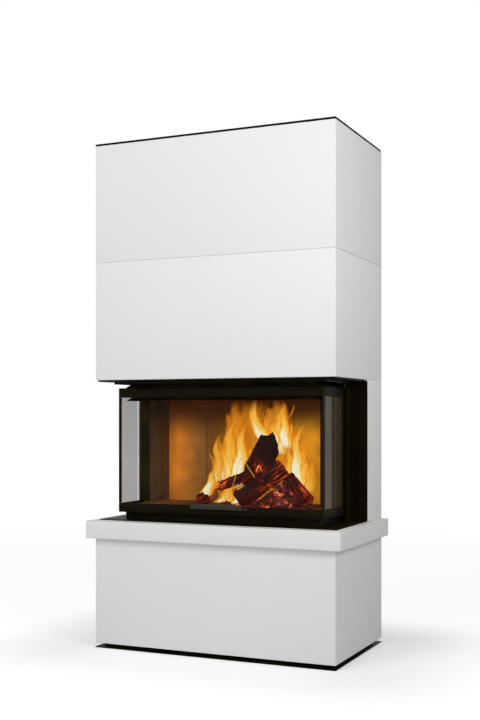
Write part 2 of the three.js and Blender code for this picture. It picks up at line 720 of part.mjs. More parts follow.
function buildLintel() {
  const top = zDome - zWindowTop - SEAT_GAP;
  const angle = [
    [0, 0], [LINTEL_FLANGE, 0], [LINTEL_FLANGE, BODY_SHEET],
    [BODY_SHEET, BODY_SHEET], [BODY_SHEET, top], [0, top],
  ];
  const yEnd = yPost - SEAT_GAP;
  add("lintel_frame", aroundFront(angle, halfBody, yBody, yEnd), "blackSteel", zWindowTop);

  const seat = -SEAT_GAP;
  const bend = seat - DEFLECTOR_T;
  const flangeIn = LINTEL_FLANGE - 2 * DEFLECTOR_T;
  const blade = [
    [SIDE_PLAY / 2, -DEFLECTOR_DROP], [SIDE_PLAY / 2 + DEFLECTOR_T, -DEFLECTOR_DROP], [flangeIn, bend],
    [LINTEL_FLANGE, bend], [LINTEL_FLANGE, seat], [flangeIn - SIDE_PLAY, seat],
  ];
  add("air_wash_deflector", aroundFront(blade, halfBody, yBody, yEnd), "blackSteel", zWindowTop);
}

function buildSeals() {
  const near = RAIL_DEPTH + (SEAL_GAP - SEAL_T) / 2;
  const far = near + SEAL_T;
  const tape = [[near, 0], [far, 0], [far, SEAL_H], [near, SEAL_H]];
  const yEnd = yPost - SEAT_GAP;
  add("lower_door_seal", aroundFront(tape, halfDoor, yDoor, yEnd), "rope", zDoor + SEAL_FROM_EDGE);
  add("upper_door_seal", aroundFront(tape, halfDoor, yDoor, yEnd), "rope", zWindowTop + SEAL_FROM_EDGE);
}

function buildSmokeDome() {
  const footprint = (inset) => [-halfBody + inset, halfBody - inset, yBody + inset, yShellBack - inset];
  const half = DOME_TOP_W / 2;
  const crown = (inset) => [-half + inset, half - inset, yFlue - half + inset, yFlue + half - inset];
  const boreR = FLUE_R - FLUE_T;
  const spigot = new THREE.CylinderGeometry(FLUE_R, FLUE_R, SPIGOT_H + BODY_SHEET, SPIGOT_SIDES);
  const bore = new THREE.CylinderGeometry(boreR, boreR, SPIGOT_H + DOME_H / 2, SPIGOT_SIDES);
  const outside = join(
    tapered(footprint(0), zDome, crown(0), zSpigot),
    spigot.rotateX(Math.PI / 2).translate(0, yFlue, zSpigot + SPIGOT_H / 2 - BODY_SHEET / 2),
  );
  const inside = join(
    tapered(footprint(BODY_SHEET), zDome - OVERLAP, crown(BODY_SHEET), zSpigot - BODY_SHEET),
    bore.rotateX(Math.PI / 2).translate(0, yFlue, zSpigot + SPIGOT_H / 2),
  );
  add("smoke_dome", cut(outside, inside), "blackSteel");
}

// The flue's centre line: up, round a quarter turn, then back to the rear cover.
class FlueLine extends THREE.Curve {
  getPoint(t, target = new THREE.Vector3()) {
    const arc = (Math.PI / 2) * ELBOW_R;
    const run = yBack - yFlue - ELBOW_R;
    const s = t * (FLUE_RISE + arc + run);
    if (s < FLUE_RISE) return target.set(0, yFlue, zElbow + s);
    if (s < FLUE_RISE + arc) {
      const turn = (s - FLUE_RISE) / ELBOW_R;
      const y = yFlue + ELBOW_R * (1 - Math.cos(turn));
      return target.set(0, y, zElbow + FLUE_RISE + ELBOW_R * Math.sin(turn));
    }
    return target.set(0, yFlue + ELBOW_R + s - FLUE_RISE - arc, zFlueOut);
  }
}

function buildFlue() {
  const section = ring(circle(0, 0, FLUE_R), circle(0, 0, FLUE_R - FLUE_T));
  const options = { steps: FLUE_STEPS, curveSegments: CURVE_STEPS, extrudePath: new FlueLine() };
  const pipe = new THREE.ExtrudeGeometry(section, options);
  add("flue_elbow", pipe, "blackSteel");
}

// ---------------------------------------------------------------- door

function buildDoorFrame() {
  const depth = RAIL_DEPTH;
  const t = RAIL_SHEET;
  const channel = (height, webAtTop) => {
    const web = webAtTop ? height - t : t;
    const open = webAtTop ? 0 : height;
    const back = webAtTop ? height : 0;
    const inner = depth - t;
    const outer = [[0, back], [0, open], [t, open], [t, web]];
    return [...outer, [inner, web], [inner, open], [depth, open], [depth, back]];
  };
  const rail = (section) => aroundFront(section, halfDoor, yDoor, yDoorEnd);
  add("door_top_rail", rail(channel(TOP_RAIL_H, true)), "blackSteel", zWindowTop);
  add("door_bottom_rail", rail(channel(BOTTOM_RAIL_H, false)), "blackSteel", zDoor);

  const windowH = zWindowTop - zWindow;
  const bead = outline([
    [halfDoor - BEAD_FRONT, yDoor], [halfDoor, yDoor], [halfDoor, yDoor + BEAD_SIDE],
    [halfDoor - BEAD_SHEET, yDoor + BEAD_SIDE], [halfDoor - BEAD_SHEET, yDoor + BEAD_SHEET],
    [halfDoor - BEAD_FRONT, yDoor + BEAD_SHEET],
  ]);
  addPair("corner_bead", raised(bead, windowH - 2 * SEAT_GAP), "blackSteel", zWindow + SEAT_GAP);

  const inset = RAIL_SHEET + SEAT_GAP;
  const paneH = windowH + 2 * GLASS_IN_RAIL;
  const zPane = zWindow - GLASS_IN_RAIL;
  const frontHalf = halfDoor - inset - GLASS_T - SEAT_GAP;
  const front = rectangle(-frontHalf, yDoor + inset, frontHalf, yDoor + inset + GLASS_T);
  add("front_glass", raised(front, paneH), "glass", zPane);
  const xPane = halfDoor - inset - GLASS_T;
  const yPane = yDoor + inset + GLASS_T + SEAT_GAP;
  const side = rectangle(xPane, yPane, xPane + GLASS_T, yDoorEnd - RAIL_DEPTH - SEAT_GAP);
  addPair("side_glass", raised(side, paneH), "glass", zPane);
}

function buildHandle() {
  const zLow = zDoor + HANDLE_RISE;
  const yFace = yDoor - HANDLE_STANDOFF;
  const yRoot = yDoor - SEAT_GAP;
  const half = HANDLE_L / 2;
  const lip = outline([
    [yFace, zLow], [yRoot, zLow], [yRoot, zLow + HANDLE_T], [yFace + HANDLE_T, zLow + HANDLE_T],
    [yFace + HANDLE_T, zLow + HANDLE_H], [yFace, zLow + HANDLE_H],
  ]);
  const footTop = Math.min(HANDLE_H, BOTTOM_RAIL_H - HANDLE_RISE);
  const foot = outline([
    [half - OVERLAP, zLow], [half + HANDLE_FOOT_L, zLow], [half + HANDLE_FOOT_L, zLow + footTop / 2],
    [half - OVERLAP, zLow + footTop],
  ]);
  const geometry = join(
    sideways(lip, -half, HANDLE_L),
    upright(foot, yRoot - HANDLE_T, HANDLE_T),
  );
  add("door_handle", geometry, "greySteel");
}

// The upright at the rear end of each side, with the plate that runs in the guide.
function buildRearStiles() {
  const [low, high] = [zWindow + SEAT_GAP, zWindowTop - SEAT_GAP];
  const bar = block(halfDoor - RAIL_DEPTH, halfDoor, yDoorEnd - RAIL_DEPTH, yDoorEnd, low, high);
  const y0 = yDoorEnd + SEAT_GAP;
  const y1 = yGuide + CARRIAGE_REACH;
  const xWeb = halfDoor - CARRIAGE_T;
  const web = block(xWeb, halfDoor, yDoorEnd - OVERLAP, y1, low + SEAT_GAP, high - SEAT_GAP);
  const plate = block(xWeb, halfDoor, y0, y1, zCarriage, zCarriageTop);
  const holes = rollerHeights().map((z) =>
    barAlongX(xWeb - OVERLAP, halfDoor + OVERLAP, yRoller, z, AXLE_R + BORE_GAP, AXLE_SIDES));
  addPair("rear_stile", cut(join(bar, web, plate), ...holes), "blackSteel");
}

function rollerHeights() {
  return [zCarriage + ROLLER_END, zCarriageTop - ROLLER_END];
}

// Two wheels on one axle, turned about X and centred on the carriage plate.
function buildRollers() {
  const inner = CARRIAGE_T / 2 + SIDE_PLAY;
  const outer = inner + ROLLER_W;
  const profile = [
    [0, -outer], [rollerR, -outer], [rollerR, -inner], [AXLE_R, -inner],
    [AXLE_R, inner], [rollerR, inner], [rollerR, outer], [0, outer],
  ].map(([radius, along]) => new THREE.Vector2(radius, along));
  const roller = new THREE.LatheGeometry(profile, WHEEL_SIDES).rotateZ(Math.PI / 2);
  const [zLower, zUpper] = rollerHeights();
  addPair("lower_roller", roller.clone().translate(xLift, yRoller, zLower), "greySteel");
  addPair("upper_roller", roller.translate(xLift, yRoller, zUpper), "greySteel");
}

// ---------------------------------------------------------------- lift

// Lipped channel in plan, whose outer flange runs on to the cheek plate, with two bearing plates at the top.
function buildGuides() {
  const t = SHEET;
  const slot = GUIDE_SLOT / 2;
  const yFin = yCheek - 2 * SEAT_GAP - SHEET;
  const plan = outline([
    [xGuideIn, yGuide], [xLift - slot, yGuide], [xLift - slot, yGuide + t], [xGuideIn + t, yGuide + t],
    [xGuideIn + t, yGuideBack - t], [xGuideOut - t, yGuideBack - t], [xGuideOut - t, yGuide + t],
    [xLift + slot, yGuide + t], [xLift + slot, yGuide], [xGuideOut, yGuide],
    [xGuideOut, yFin], [xGuideOut - t, yFin], [xGuideOut - t, yGuideBack], [xGuideIn, yGuideBack],
  ]);
  const low = zTray + SEAT_GAP;
  const plateLow = zGuideTop - 2 * t;
  const reach = yShaft + BEARING_EDGE;
  const bearing = ring(
    rectangle(yGuide, plateLow, reach, zShaft + BEARING_EDGE),
    circle(yShaft, zShaft, SHAFT_R + BORE_GAP),
  );
  const geometry = join(
    raised(plan, zGuideTop - low).translate(0, 0, low),
    sideways(bearing, xGuideIn, t),
    sideways(bearing.clone(), xGuideOut - t, t),
  );
  addPair("guide_channel", geometry, "blackSteel");
}

// Tooth outline: a seat for a chain roller at each pitch, with the tooth tips between them.
function sprocketOutline() {
  const swing = THREE.MathUtils.degToRad(90 / SEAT_STEPS);
  const seatR = (CHAIN_ROLLER_R + SEAT_GAP) / Math.cos(swing / 2);
  const tipR = pitchR + SPROCKET_TIP;
  const halfTooth = Math.PI / SPROCKET_TEETH;
  const axis = new THREE.Vector2();
  const points = [];
  for (let tooth = 0; tooth < SPROCKET_TEETH; tooth++) {
    const angle = (2 * Math.PI * tooth) / SPROCKET_TEETH;
    for (let step = -SEAT_STEPS; step <= SEAT_STEPS; step++) {
      const around = Math.PI - step * swing;
      const seat = new THREE.Vector2(pitchR + seatR * Math.cos(around), seatR * Math.sin(around));
      points.push(seat.rotateAround(axis, angle));
    }
    for (const share of [1 - TOOTH_TIP_SHARE, 1 + TOOTH_TIP_SHARE]) {
      points.push(new THREE.Vector2(tipR, 0).rotateAround(axis, angle + share * halfTooth));
    }
  }
  return new THREE.Shape(points);
}

function buildLiftShaft() {
  const end = xGuideOut + SHAFT_END;
  const wheel = raised(sprocketOutline(), SPROCKET_T).rotateX(Math.PI / 2).rotateZ(Math.PI / 2);
  const wheelAt = (x) => wheel.clone().translate(x - SPROCKET_T / 2, yShaft, zShaft);
  const hubAt = (x) => barAlongX(x - HUB_L / 2, x + HUB_L / 2, yShaft, zShaft, HUB_R, WHEEL_SIDES);
  const geometry = join(
    barAlongX(-end, end, yShaft, zShaft, SHAFT_R, AXLE_SIDES),
    wheelAt(xLift),
    hubAt(xLift),
    wheelAt(-xLift),
    hubAt(-xLift),
  );
  add("lift_shaft", geometry, "greySteel");
}

// The chain's pins in Y and Z, from the carriage over the sprocket to the counterweight.
function chainPins() {
  const frontCount = Math.floor((zShaft - zCarriageTop - CHAIN_ROD_MIN) / CHAIN_PITCH);
  const rearCount = Math.floor((zShaft - zWeightTop - CHAIN_ROD_MIN / 2) / CHAIN_PITCH);
  const pins = [];
  for (let i = frontCount; i > 0; i--) pins.push(new THREE.Vector2(yRoller, zShaft - i * CHAIN_PITCH));
  for (let i = 0; i <= SPROCKET_TEETH / 2; i++) {
    const angle = Math.PI - (2 * Math.PI * i) / SPROCKET_TEETH;
    pins.push(new THREE.Vector2(yShaft + pitchR * Math.cos(angle), zShaft + pitchR * Math.sin(angle)));
  }
  for (let i = 1; i <= rearCount; i++) pins.push(new THREE.Vector2(yRearRun, zShaft - i * CHAIN_PITCH));
  return pins;
}

// One side plate of the whole chain, drawn in Y and Z, full at each pin and waisted between the pins.
function chainStrip(pins) {
  const [left, right] = [[], []];
  for (let i = 0; i < pins.length - 1; i++) {
    const along = pins[i + 1].clone().sub(pins[i]);
    const normal = new THREE.Vector2(-along.y, along.x).normalize();
    for (const [share, half] of CHAIN_PLATE_EDGE) {
      const middle = pins[i].clone().addScaledVector(along, share);
      left.push(middle.clone().addScaledVector(normal, half));
      right.push(middle.clone().addScaledVector(normal, -half));
    }
  }
  return new THREE.Shape([...right, ...left.reverse()]);
}

function buildChains() {
  const pins = chainPins();
  const halfIn = CHAIN_INNER_W / 2;
  const strip = chainStrip(pins);
  const [x0, x1] = [xLift - halfIn - OVERLAP, xLift + halfIn + OVERLAP];
  const rollers = pins.slice(1, -1).map((pin) =>
    barAlongX(x0, x1, pin.x, pin.y, CHAIN_ROLLER_R, SMALL_SIDES));
  const rod = (y, low, high) => {
    const bar = new THREE.CylinderGeometry(CHAIN_ROD_R, CHAIN_ROD_R, high - low, SMALL_SIDES);
    return bar.rotateX(Math.PI / 2).translate(xLift, y, (low + high) / 2);
  };
  const clevis = ({ x: y, y: z }) =>
    block(x0, x1, y - CHAIN_WAIST_HALF, y + CHAIN_WAIST_HALF, z, z + CHAIN_PITCH / 2);
  const first = pins[0];
  const last = pins[pins.length - 1];
  const geometry = join(
    sideways(strip, xLift - halfIn - CHAIN_PLATE_T, CHAIN_PLATE_T),
    sideways(strip.clone(), xLift + halfIn, CHAIN_PLATE_T),
    ...rollers,
    clevis(first),
    rod(first.x, zCarriageTop + SEAT_GAP, first.y + OVERLAP),
    clevis(last),
    rod(last.x, zWeightTop + SEAT_GAP, last.y + OVERLAP),
  );
  addPair("chain", geometry, "greySteel");
}

function buildCounterweights() {
  const half = COUNTERWEIGHT_W / 2;
  const halfDepth = COUNTERWEIGHT_D / 2;
  const plan = rectangle(xLift - half, yRearRun - halfDepth, xLift + half, yRearRun + halfDepth);
  const weight = raised(plan, COUNTERWEIGHT_H, CORNER_BEVEL);
  addPair("counterweight", weight, "castIron", zWeightTop - COUNTERWEIGHT_H);
}

// ---------------------------------------------------------------- firewood

// Ends are shares of the firebox's half width, its depth and the window's height, and radii of that height.
const LOGS = [
  { name: "log_front", low: [0.13, 0.19, 0.06], high: [0.6, 0.4, 0.37], radius: 0.092, turn: 0.4 },
  { name: "log_leaning", low: [-0.02, 0.79, 0.05], high: [0.45, 0.43, 0.54], radius: 0.12, turn: 1.3 },
  { name: "log_right", low: [0.92, 0.24, 0.05], high: [0.64, 0.5, 0.27], radius: 0.07, turn: 2.2 },
  { name: "log_small", low: [-0.39, 0.44, 0.04], high: [0.2, 0.52, 0.29], radius: 0.046, turn: 3.1 },
];

// A split log: a round of bark closed by two split faces, standing along Z from the floor.
function splitLog(length, radius) {
  const shares = [];
  for (let i = 0; i <= BARK_STEPS; i++) {
    const angle = (Math.PI * i) / BARK_STEPS;
    const swell = 1 + BARK_SWELL * Math.sin(BARK_WAVES * angle);
    shares.push([swell * Math.cos(angle), swell * Math.sin(angle)]);
  }
  shares.push(...SPLIT_CORNERS);
  const plan = outline(shares.map(([x, y]) => [radius * x, radius * y]));
  return raised(plan, length, LOG_END_BEVEL * radius);
}

// The same shape, larger all round about its middle.
function grown(geometry) {
  geometry.computeBoundingBox();
  const middle = geometry.boundingBox.getCenter(new THREE.Vector3());
  const extent = geometry.boundingBox.getSize(new THREE.Vector3());
  const [a, b, c] = extent.toArray().map((length) => 1 + (2 * LOG_GAP) / length);
  const around = geometry.clone().translate(...middle.clone().negate().toArray());
  return around.scale(a, b, c).translate(...middle.toArray());
}

function buildLogs() {
  const depth = yLining - yBody;
  const windowH = zWindowTop - zWindow;
  const place = ([x, y, z]) => new THREE.Vector3(x * halfFirebox, yBody + y * depth, zLining + z * windowH);
  const bed = block(-halfFirebox, halfFirebox, yBody, yLining, zShelfTop, zLining);
  const laid = [];
  for (const { name, low, high, radius, turn } of LOGS) {
    const [start, end] = [place(low), place(high)];
    const along = end.clone().sub(start);
    const length = along.length();
    const lean = new THREE.Quaternion().setFromUnitVectors(new THREE.Vector3(0, 0, 1), along.normalize());
    const log = splitLog(length, radius * windowH).rotateZ(turn);
    log.applyQuaternion(lean).translate(...start.toArray());
    add(name, cut(log, bed, ...laid.map(grown)), "bark");
    laid.push(log);
  }
}

// ---------------------------------------------------------------- assembly

buildSurround();
buildHearthTray();
buildCheekPlates();
buildHoodCarrier();
buildTopPlate();
buildRearCovers();
buildStand();
buildInsertBase();
buildAirSlide();
buildHearth();
buildAshPan();
buildFireboxShell();
buildLining();
buildLintel();
buildSeals();
buildSmokeDome();
buildFlue();
buildDoorFrame();
buildHandle();
buildRearStiles();
buildRollers();
buildGuides();
buildLiftShaft();
buildChains();
buildCounterweights();
buildLogs();

export default stove;
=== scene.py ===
"""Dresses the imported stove: finishes for its solids, and the fine pieces that the solids leave out."""

import json
import math

import bpy
from mathutils import Matrix, Vector, noise

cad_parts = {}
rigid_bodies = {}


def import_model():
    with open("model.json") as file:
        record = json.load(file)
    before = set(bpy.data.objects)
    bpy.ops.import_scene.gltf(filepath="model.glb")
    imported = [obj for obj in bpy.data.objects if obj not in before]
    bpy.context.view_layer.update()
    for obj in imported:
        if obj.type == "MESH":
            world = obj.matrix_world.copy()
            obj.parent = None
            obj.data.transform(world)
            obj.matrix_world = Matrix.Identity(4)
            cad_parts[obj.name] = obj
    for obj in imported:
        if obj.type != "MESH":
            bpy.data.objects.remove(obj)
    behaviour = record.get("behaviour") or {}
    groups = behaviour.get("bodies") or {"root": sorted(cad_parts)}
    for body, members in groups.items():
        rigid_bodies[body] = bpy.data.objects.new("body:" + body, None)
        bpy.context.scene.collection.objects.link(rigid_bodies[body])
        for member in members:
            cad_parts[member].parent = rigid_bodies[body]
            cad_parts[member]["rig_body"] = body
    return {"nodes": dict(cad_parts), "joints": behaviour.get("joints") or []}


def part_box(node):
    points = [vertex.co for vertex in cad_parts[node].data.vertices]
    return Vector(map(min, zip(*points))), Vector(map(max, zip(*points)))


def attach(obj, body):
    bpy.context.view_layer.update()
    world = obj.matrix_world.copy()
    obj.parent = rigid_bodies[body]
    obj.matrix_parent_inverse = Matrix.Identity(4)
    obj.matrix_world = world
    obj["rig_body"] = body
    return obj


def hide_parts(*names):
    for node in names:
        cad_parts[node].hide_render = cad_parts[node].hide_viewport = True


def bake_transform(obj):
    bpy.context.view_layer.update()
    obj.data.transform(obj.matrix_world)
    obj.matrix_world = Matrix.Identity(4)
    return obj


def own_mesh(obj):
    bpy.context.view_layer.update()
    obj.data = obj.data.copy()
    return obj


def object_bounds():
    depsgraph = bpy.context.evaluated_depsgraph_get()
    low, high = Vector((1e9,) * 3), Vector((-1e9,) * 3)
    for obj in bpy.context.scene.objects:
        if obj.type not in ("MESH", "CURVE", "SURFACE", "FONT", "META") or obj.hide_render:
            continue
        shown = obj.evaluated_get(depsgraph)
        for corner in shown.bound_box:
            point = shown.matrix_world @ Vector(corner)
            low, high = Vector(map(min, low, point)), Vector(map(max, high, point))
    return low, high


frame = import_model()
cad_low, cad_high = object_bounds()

bl_info = {
    "name": "Lifting-door stove",
    "version": (1, 0, 0),
    "blender": (4, 5, 0),
    "location": "View3D > Sidebar > Stove",
    "description": "Finishes, fire and small hardware of a stove in a stacked white surround",
    "category": "Object",
}

# --- places taken from the solids

LINING_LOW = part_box("back_lining_2")[0]
SHAFT_LOW, SHAFT_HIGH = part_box("lift_shaft")
CHAIN_LOW, CHAIN_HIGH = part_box("right_chain")
WEIGHT_LOW, WEIGHT_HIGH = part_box("right_counterweight")
ROLLER_LOW, ROLLER_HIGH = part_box("right_upper_roller")
BED_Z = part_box("right_hearth_brick")[1].z
WINDOW_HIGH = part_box("door_top_rail")[0].z
FIRE_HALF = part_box("right_side_lining")[0].x
FIRE_BACK = LINING_LOW.y
FIRE_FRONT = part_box("firebox_shell")[0].y
SHAFT_Y = (SHAFT_LOW.y + SHAFT_HIGH.y) / 2
SHAFT_Z = (SHAFT_LOW.z + SHAFT_HIGH.z) / 2
CHAIN_X = (CHAIN_LOW.x + CHAIN_HIGH.x) / 2
FRONT_RUN_Y = (ROLLER_LOW.y + ROLLER_HIGH.y) / 2
REAR_RUN_Y = (WEIGHT_LOW.y + WEIGHT_HIGH.y) / 2
STROKE = next(j["range_m"][1] for j in frame["joints"] if j["name"] == "door_lift")

# --- sizes of the fine pieces

JOINT_X = (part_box("back_lining_1")[1].x + LINING_LOW.x) / -2  # outer joints of the back lining, from the middle
SIDE_JOINT_Y = 0.046  # joint of the side lining
PRINT_Y = FIRE_FRONT + 0.004  # where the print on the side panes begins
PAINTED_HIGHLIGHT_WIDTH = 0.016  # painted highlight: a pale strip along the print's edge
LID_LIP = 0.0075  # how far the top plate's edge is let out
LID_EDGE = 0.004  # corners this near to the edge are let out
CHAIN_PITCH = 0.0254
SPROCKET_TEETH = 12
LINK_WAIST = 0.62  # height of a link plate in its middle, as a share of its ends
SCREW_SINK = 0.0015  # how far a screw sits in its cover
SCREW_ROW_INSET = 0.03
SCREW_SIDE_INSET = 0.012
LOG_VOXEL = 0.0034
GRAIN_STRETCH = 0.22  # bark pattern along a log, as a share of the pattern across it
BED_SIZE = (0.52, 0.26)
COALS = 90
FLOOR_SIZE = 40
FLOOR_TONE = (0.75, 0.75, 0.75)
FLOOR_TONE_FAR = (0.25, 0.25, 0.25)


# --- settings


class StovePanelSettings(bpy.types.PropertyGroup):
    coat: bpy.props.FloatVectorProperty(
        name="Coat colour", description="Colour of the stacked white panels", subtype="COLOR",
        default=(0.83, 0.83, 0.82), min=0, max=1,
    )
    grain: bpy.props.FloatProperty(
        name="Coat grain", description="Height of the fine grain in the coat", default=0.00012, unit="LENGTH",
        precision=6,
    )


class StoveMetalSettings(bpy.types.PropertyGroup):
    black: bpy.props.FloatVectorProperty(
        name="Black coat", description="Colour of the powder-coated steel", subtype="COLOR",
        default=(0.0052, 0.0037, 0.0007), min=0, max=1,
    )
    edge: bpy.props.FloatProperty(
        name="Edge softness", description="Width of the small round along folded edges", default=0.0009,
        unit="LENGTH", precision=5,
    )
    handle: bpy.props.FloatVectorProperty(
        name="Handle colour", description="Colour of the door handle", subtype="COLOR",
        default=(0.03, 0.025, 0.018), min=0, max=1,
    )


class StoveFireSettings(bpy.types.PropertyGroup):
    # painted firelight: the lining's glow is an emission on its boards
    glow: bpy.props.FloatProperty(
        name="Lining glow", description="Strength of the firelight on the lining", default=1.0, min=0,
    )
    flame: bpy.props.FloatProperty(
        name="Flame strength", description="Strength of the flames' own light", default=1.0, min=0,
    )
    ember: bpy.props.FloatProperty(
        name="Ember strength", description="Strength of the embers' own light", default=1.0, min=0,
    )


class StoveStageSettings(bpy.types.PropertyGroup):
    camera_place: bpy.props.FloatVectorProperty(
        name="Camera place", description="Where the camera stands", subtype="TRANSLATION", unit="LENGTH",
        default=(1.9009, -4.2069, 0.9656),
    )
    camera_turn: bpy.props.FloatProperty(
        name="Camera turn", description="How far the camera is turned from straight ahead", subtype="ANGLE",
        default=math.radians(24.24),
    )
    lens: bpy.props.FloatProperty(
        name="Lens", description="Focal length in millimetres on a 36 mm long side", default=54.78,
        unit="CAMERA",
    )
    rise: bpy.props.FloatProperty(
        name="Lens rise", description="Upward shift of the lens, as a share of the picture's long side",
        default=0.0778,
    )
    key_power: bpy.props.FloatProperty(
        name="Front lamp", description="Power of the large lamp in front", default=85.0, unit="POWER",
    )
    side_power: bpy.props.FloatProperty(
        name="Side lamp", description="Power of the narrow lamp high up beside the stove", default=11.5,
        unit="POWER",
    )
    top_power: bpy.props.FloatProperty(
        name="Top lamp", description="Power of the large lamp overhead", default=17.0, unit="POWER",
    )
    low_power: bpy.props.FloatProperty(
        name="Low lamp", description="Power of the lamp low in front", default=16.0, unit="POWER",
    )
    room: bpy.props.FloatProperty(
        name="Room light", description="Strength of the light from all round", default=0.33, min=0,
    )


# --- shader tools


def two_sided(operation):
    """A method of Value that adds one Math node for the value and another number."""
    return lambda self, other: self.calculate(operation, other)


class Value:
    """A number from a node. Arithmetic on it adds Math nodes."""

    def __init__(self, finish, socket):
        self.finish = finish
        self.socket = socket

    def calculate(self, operation, *others, clamp=False):
        inputs = dict(enumerate([self, *others]))
        settings = {"operation": operation, "use_clamp": clamp}
        return Value(self.finish, self.finish.node("ShaderNodeMath", settings, inputs).outputs[0])

    __add__ = __radd__ = two_sided("ADD")
    __mul__ = __rmul__ = two_sided("MULTIPLY")
    __sub__ = two_sided("SUBTRACT")
    __truediv__ = two_sided("DIVIDE")
    __pow__ = two_sided("POWER")
    above = two_sided("GREATER_THAN")
    larger = two_sided("MAXIMUM")

    def __rsub__(self, other):
        return (self * -1) + other

    def __abs__(self):
        return self.calculate("ABSOLUTE")

    def clamped(self):
        return self.calculate("ADD", 0, clamp=True)

    def sine(self):
        return self.calculate("SINE")

    def between(self, low, high):
        """0 at low and below, 1 at high and above, smooth between them."""
        settings = {"interpolation_type": "SMOOTHSTEP"}
        inputs = {"Value": self, "From Min": low, "From Max": high}
        return Value(self.finish, self.finish.node("ShaderNodeMapRange", settings, inputs).outputs[0])


class Finish:
    """One procedural material and the short ways to its usual nodes."""

    def __init__(self, name, **surface):
        self.material = bpy.data.materials.new(name)
        self.material.use_nodes = True
        self.tree = self.material.node_tree
        self.tree.nodes.clear()
        self.output = self.node("ShaderNodeOutputMaterial")
        self.surface = self.node("ShaderNodeBsdfPrincipled")
        self.tree.links.new(self.surface.outputs[0], self.output.inputs["Surface"])
        self.set(**surface)

    def node(self, kind, settings=None, inputs=None):
        made = self.tree.nodes.new(kind)
        for key, setting in (settings or {}).items():
            setattr(made, key, setting)
        for key, given in (inputs or {}).items():
            self.feed(made.inputs[key], given)
        return made

    def feed(self, socket, given):
        if isinstance(given, Value):
            given = given.socket
        if isinstance(given, bpy.types.NodeSocket):
            self.tree.links.new(given, socket)
        elif socket.type == "RGBA" and not isinstance(given, (int, float)):
            socket.default_value = (*given[:3], 1)
        else:
            socket.default_value = given

    def set(self, **surface):
        for key, given in surface.items():
            self.feed(self.surface.inputs[key.replace("_", " ").title().replace("Ior", "IOR")], given)
        return self

    def place(self):
        return self.node("ShaderNodeTexCoord").outputs["Object"]

    def uv(self):
        split = self.node("ShaderNodeSeparateXYZ", inputs={0: self.node("ShaderNodeTexCoord").outputs["UV"]})
        return Value(self, split.outputs[0]), Value(self, split.outputs[1])

    def axes(self):
        split = self.node("ShaderNodeSeparateXYZ", inputs={0: self.place()})
        return tuple(Value(self, output) for output in split.outputs)

    def stretched(self, scale):
        return self.node("ShaderNodeMapping", inputs={"Vector": self.place(), "Scale": scale}).outputs[0]

    def noise(self, scale, detail=4, roughness=0.55, vector=None, distortion=0):
        inputs = {
            "Vector": vector or self.place(),
            "Scale": scale,
            "Detail": detail,
            "Roughness": roughness,
            "Distortion": distortion,
        }
        return Value(self, self.node("ShaderNodeTexNoise", inputs=inputs).outputs[0])

    def cells(self, scale, feature="F1", vector=None, output=0):
        inputs = {"Vector": vector or self.place(), "Scale": scale}
        return Value(self, self.node("ShaderNodeTexVoronoi", {"feature": feature}, inputs).outputs[output])

    def ramp(self, value, *stops):
        """Colours at places from 0 to 1 along a value."""
        made = self.node("ShaderNodeValToRGB", inputs={0: value})
        elements = made.color_ramp.elements
        while len(elements) < len(stops):
            elements.new(0.5)
        for element, (place, colour) in zip(elements, stops):
            element.position = place
            element.color = (*colour, 1)
        return made.outputs[0]

    def mix(self, factor, first, second):
        made = self.node("ShaderNodeMix", {"data_type": "RGBA"})
        self.feed(made.inputs[0], factor)
        self.feed(made.inputs[6], first)
        self.feed(made.inputs[7], second)
        return made.outputs[2]

    def tone(self, factor, first, second):
        """Mixes two colours into the base colour."""
        return self.set(base_color=self.mix(factor, first, second))

    def bump(self, height, distance):
        inputs = {"Height": height, "Distance": distance, "Strength": 1.0}
        self.feed(self.surface.inputs["Normal"], self.node("ShaderNodeBump", inputs=inputs).outputs[0])
        return self


# --- modelling tools


def clear_selection():
    for other in list(bpy.context.selected_objects):
        other.select_set(False)


def activate(piece):
    clear_selection()
    piece.select_set(True)
    bpy.context.view_layer.objects.active = piece


def fresh(add, name, **options):
    """Adds one primitive with nothing else selected, and names it."""
    clear_selection()
    add(**options)
    piece = bpy.context.active_object
    piece.name = name
    piece.data.name = name
    return piece


def edit(piece, *steps):
    """Runs edit-mode steps on a piece. Each step is a function with no arguments."""
    activate(piece)
    bpy.ops.object.mode_set(mode="EDIT")
    for step in steps:
        step()
    bpy.ops.object.mode_set(mode="OBJECT")
    return piece


def pick(piece, test):
    """Selects the faces whose centre and normal pass the test, for the next edit-mode step."""
    activate(piece)
    bpy.ops.object.mode_set(mode="EDIT")
    bpy.ops.mesh.select_all(action="DESELECT")
    bpy.ops.mesh.select_mode(type="FACE")
    bpy.ops.object.mode_set(mode="OBJECT")
    for face in piece.data.polygons:
        face.select = test(face.center, face.normal)
    return piece


def modify(piece, kind, **options):
    """Adds a modifier and applies it at once."""
    activate(piece)
    added = piece.modifiers.new(kind.title(), kind)
    for key, option in options.items():
        setattr(added, key, option)
    bpy.ops.object.modifier_apply(modifier=added.name)
    return piece


def settle(piece):
    """Moves a piece's place, turn and size into its mesh."""
    activate(piece)
    bpy.ops.object.transform_apply(location=True, rotation=True, scale=True)
    return piece


def drum(name, vertices, radius, depth, location, rotation=(0, 0, 0)):
    """A round bar along its own Z, turned and placed."""
    add = bpy.ops.mesh.primitive_cylinder_add
    return settle(fresh(
        add, name, vertices=vertices, radius=radius, depth=depth, location=location, rotation=rotation
    ))


def upright_sheet(name, across, up):
    """A grid that stands in X and Z, one metre each way, with a UV map."""
    return settle(fresh(
        bpy.ops.mesh.primitive_grid_add, name, x_subdivisions=across, y_subdivisions=up, size=1,
        location=(0, 0, 0), rotation=(math.pi / 2, 0, 0), calc_uvs=True,
    ))


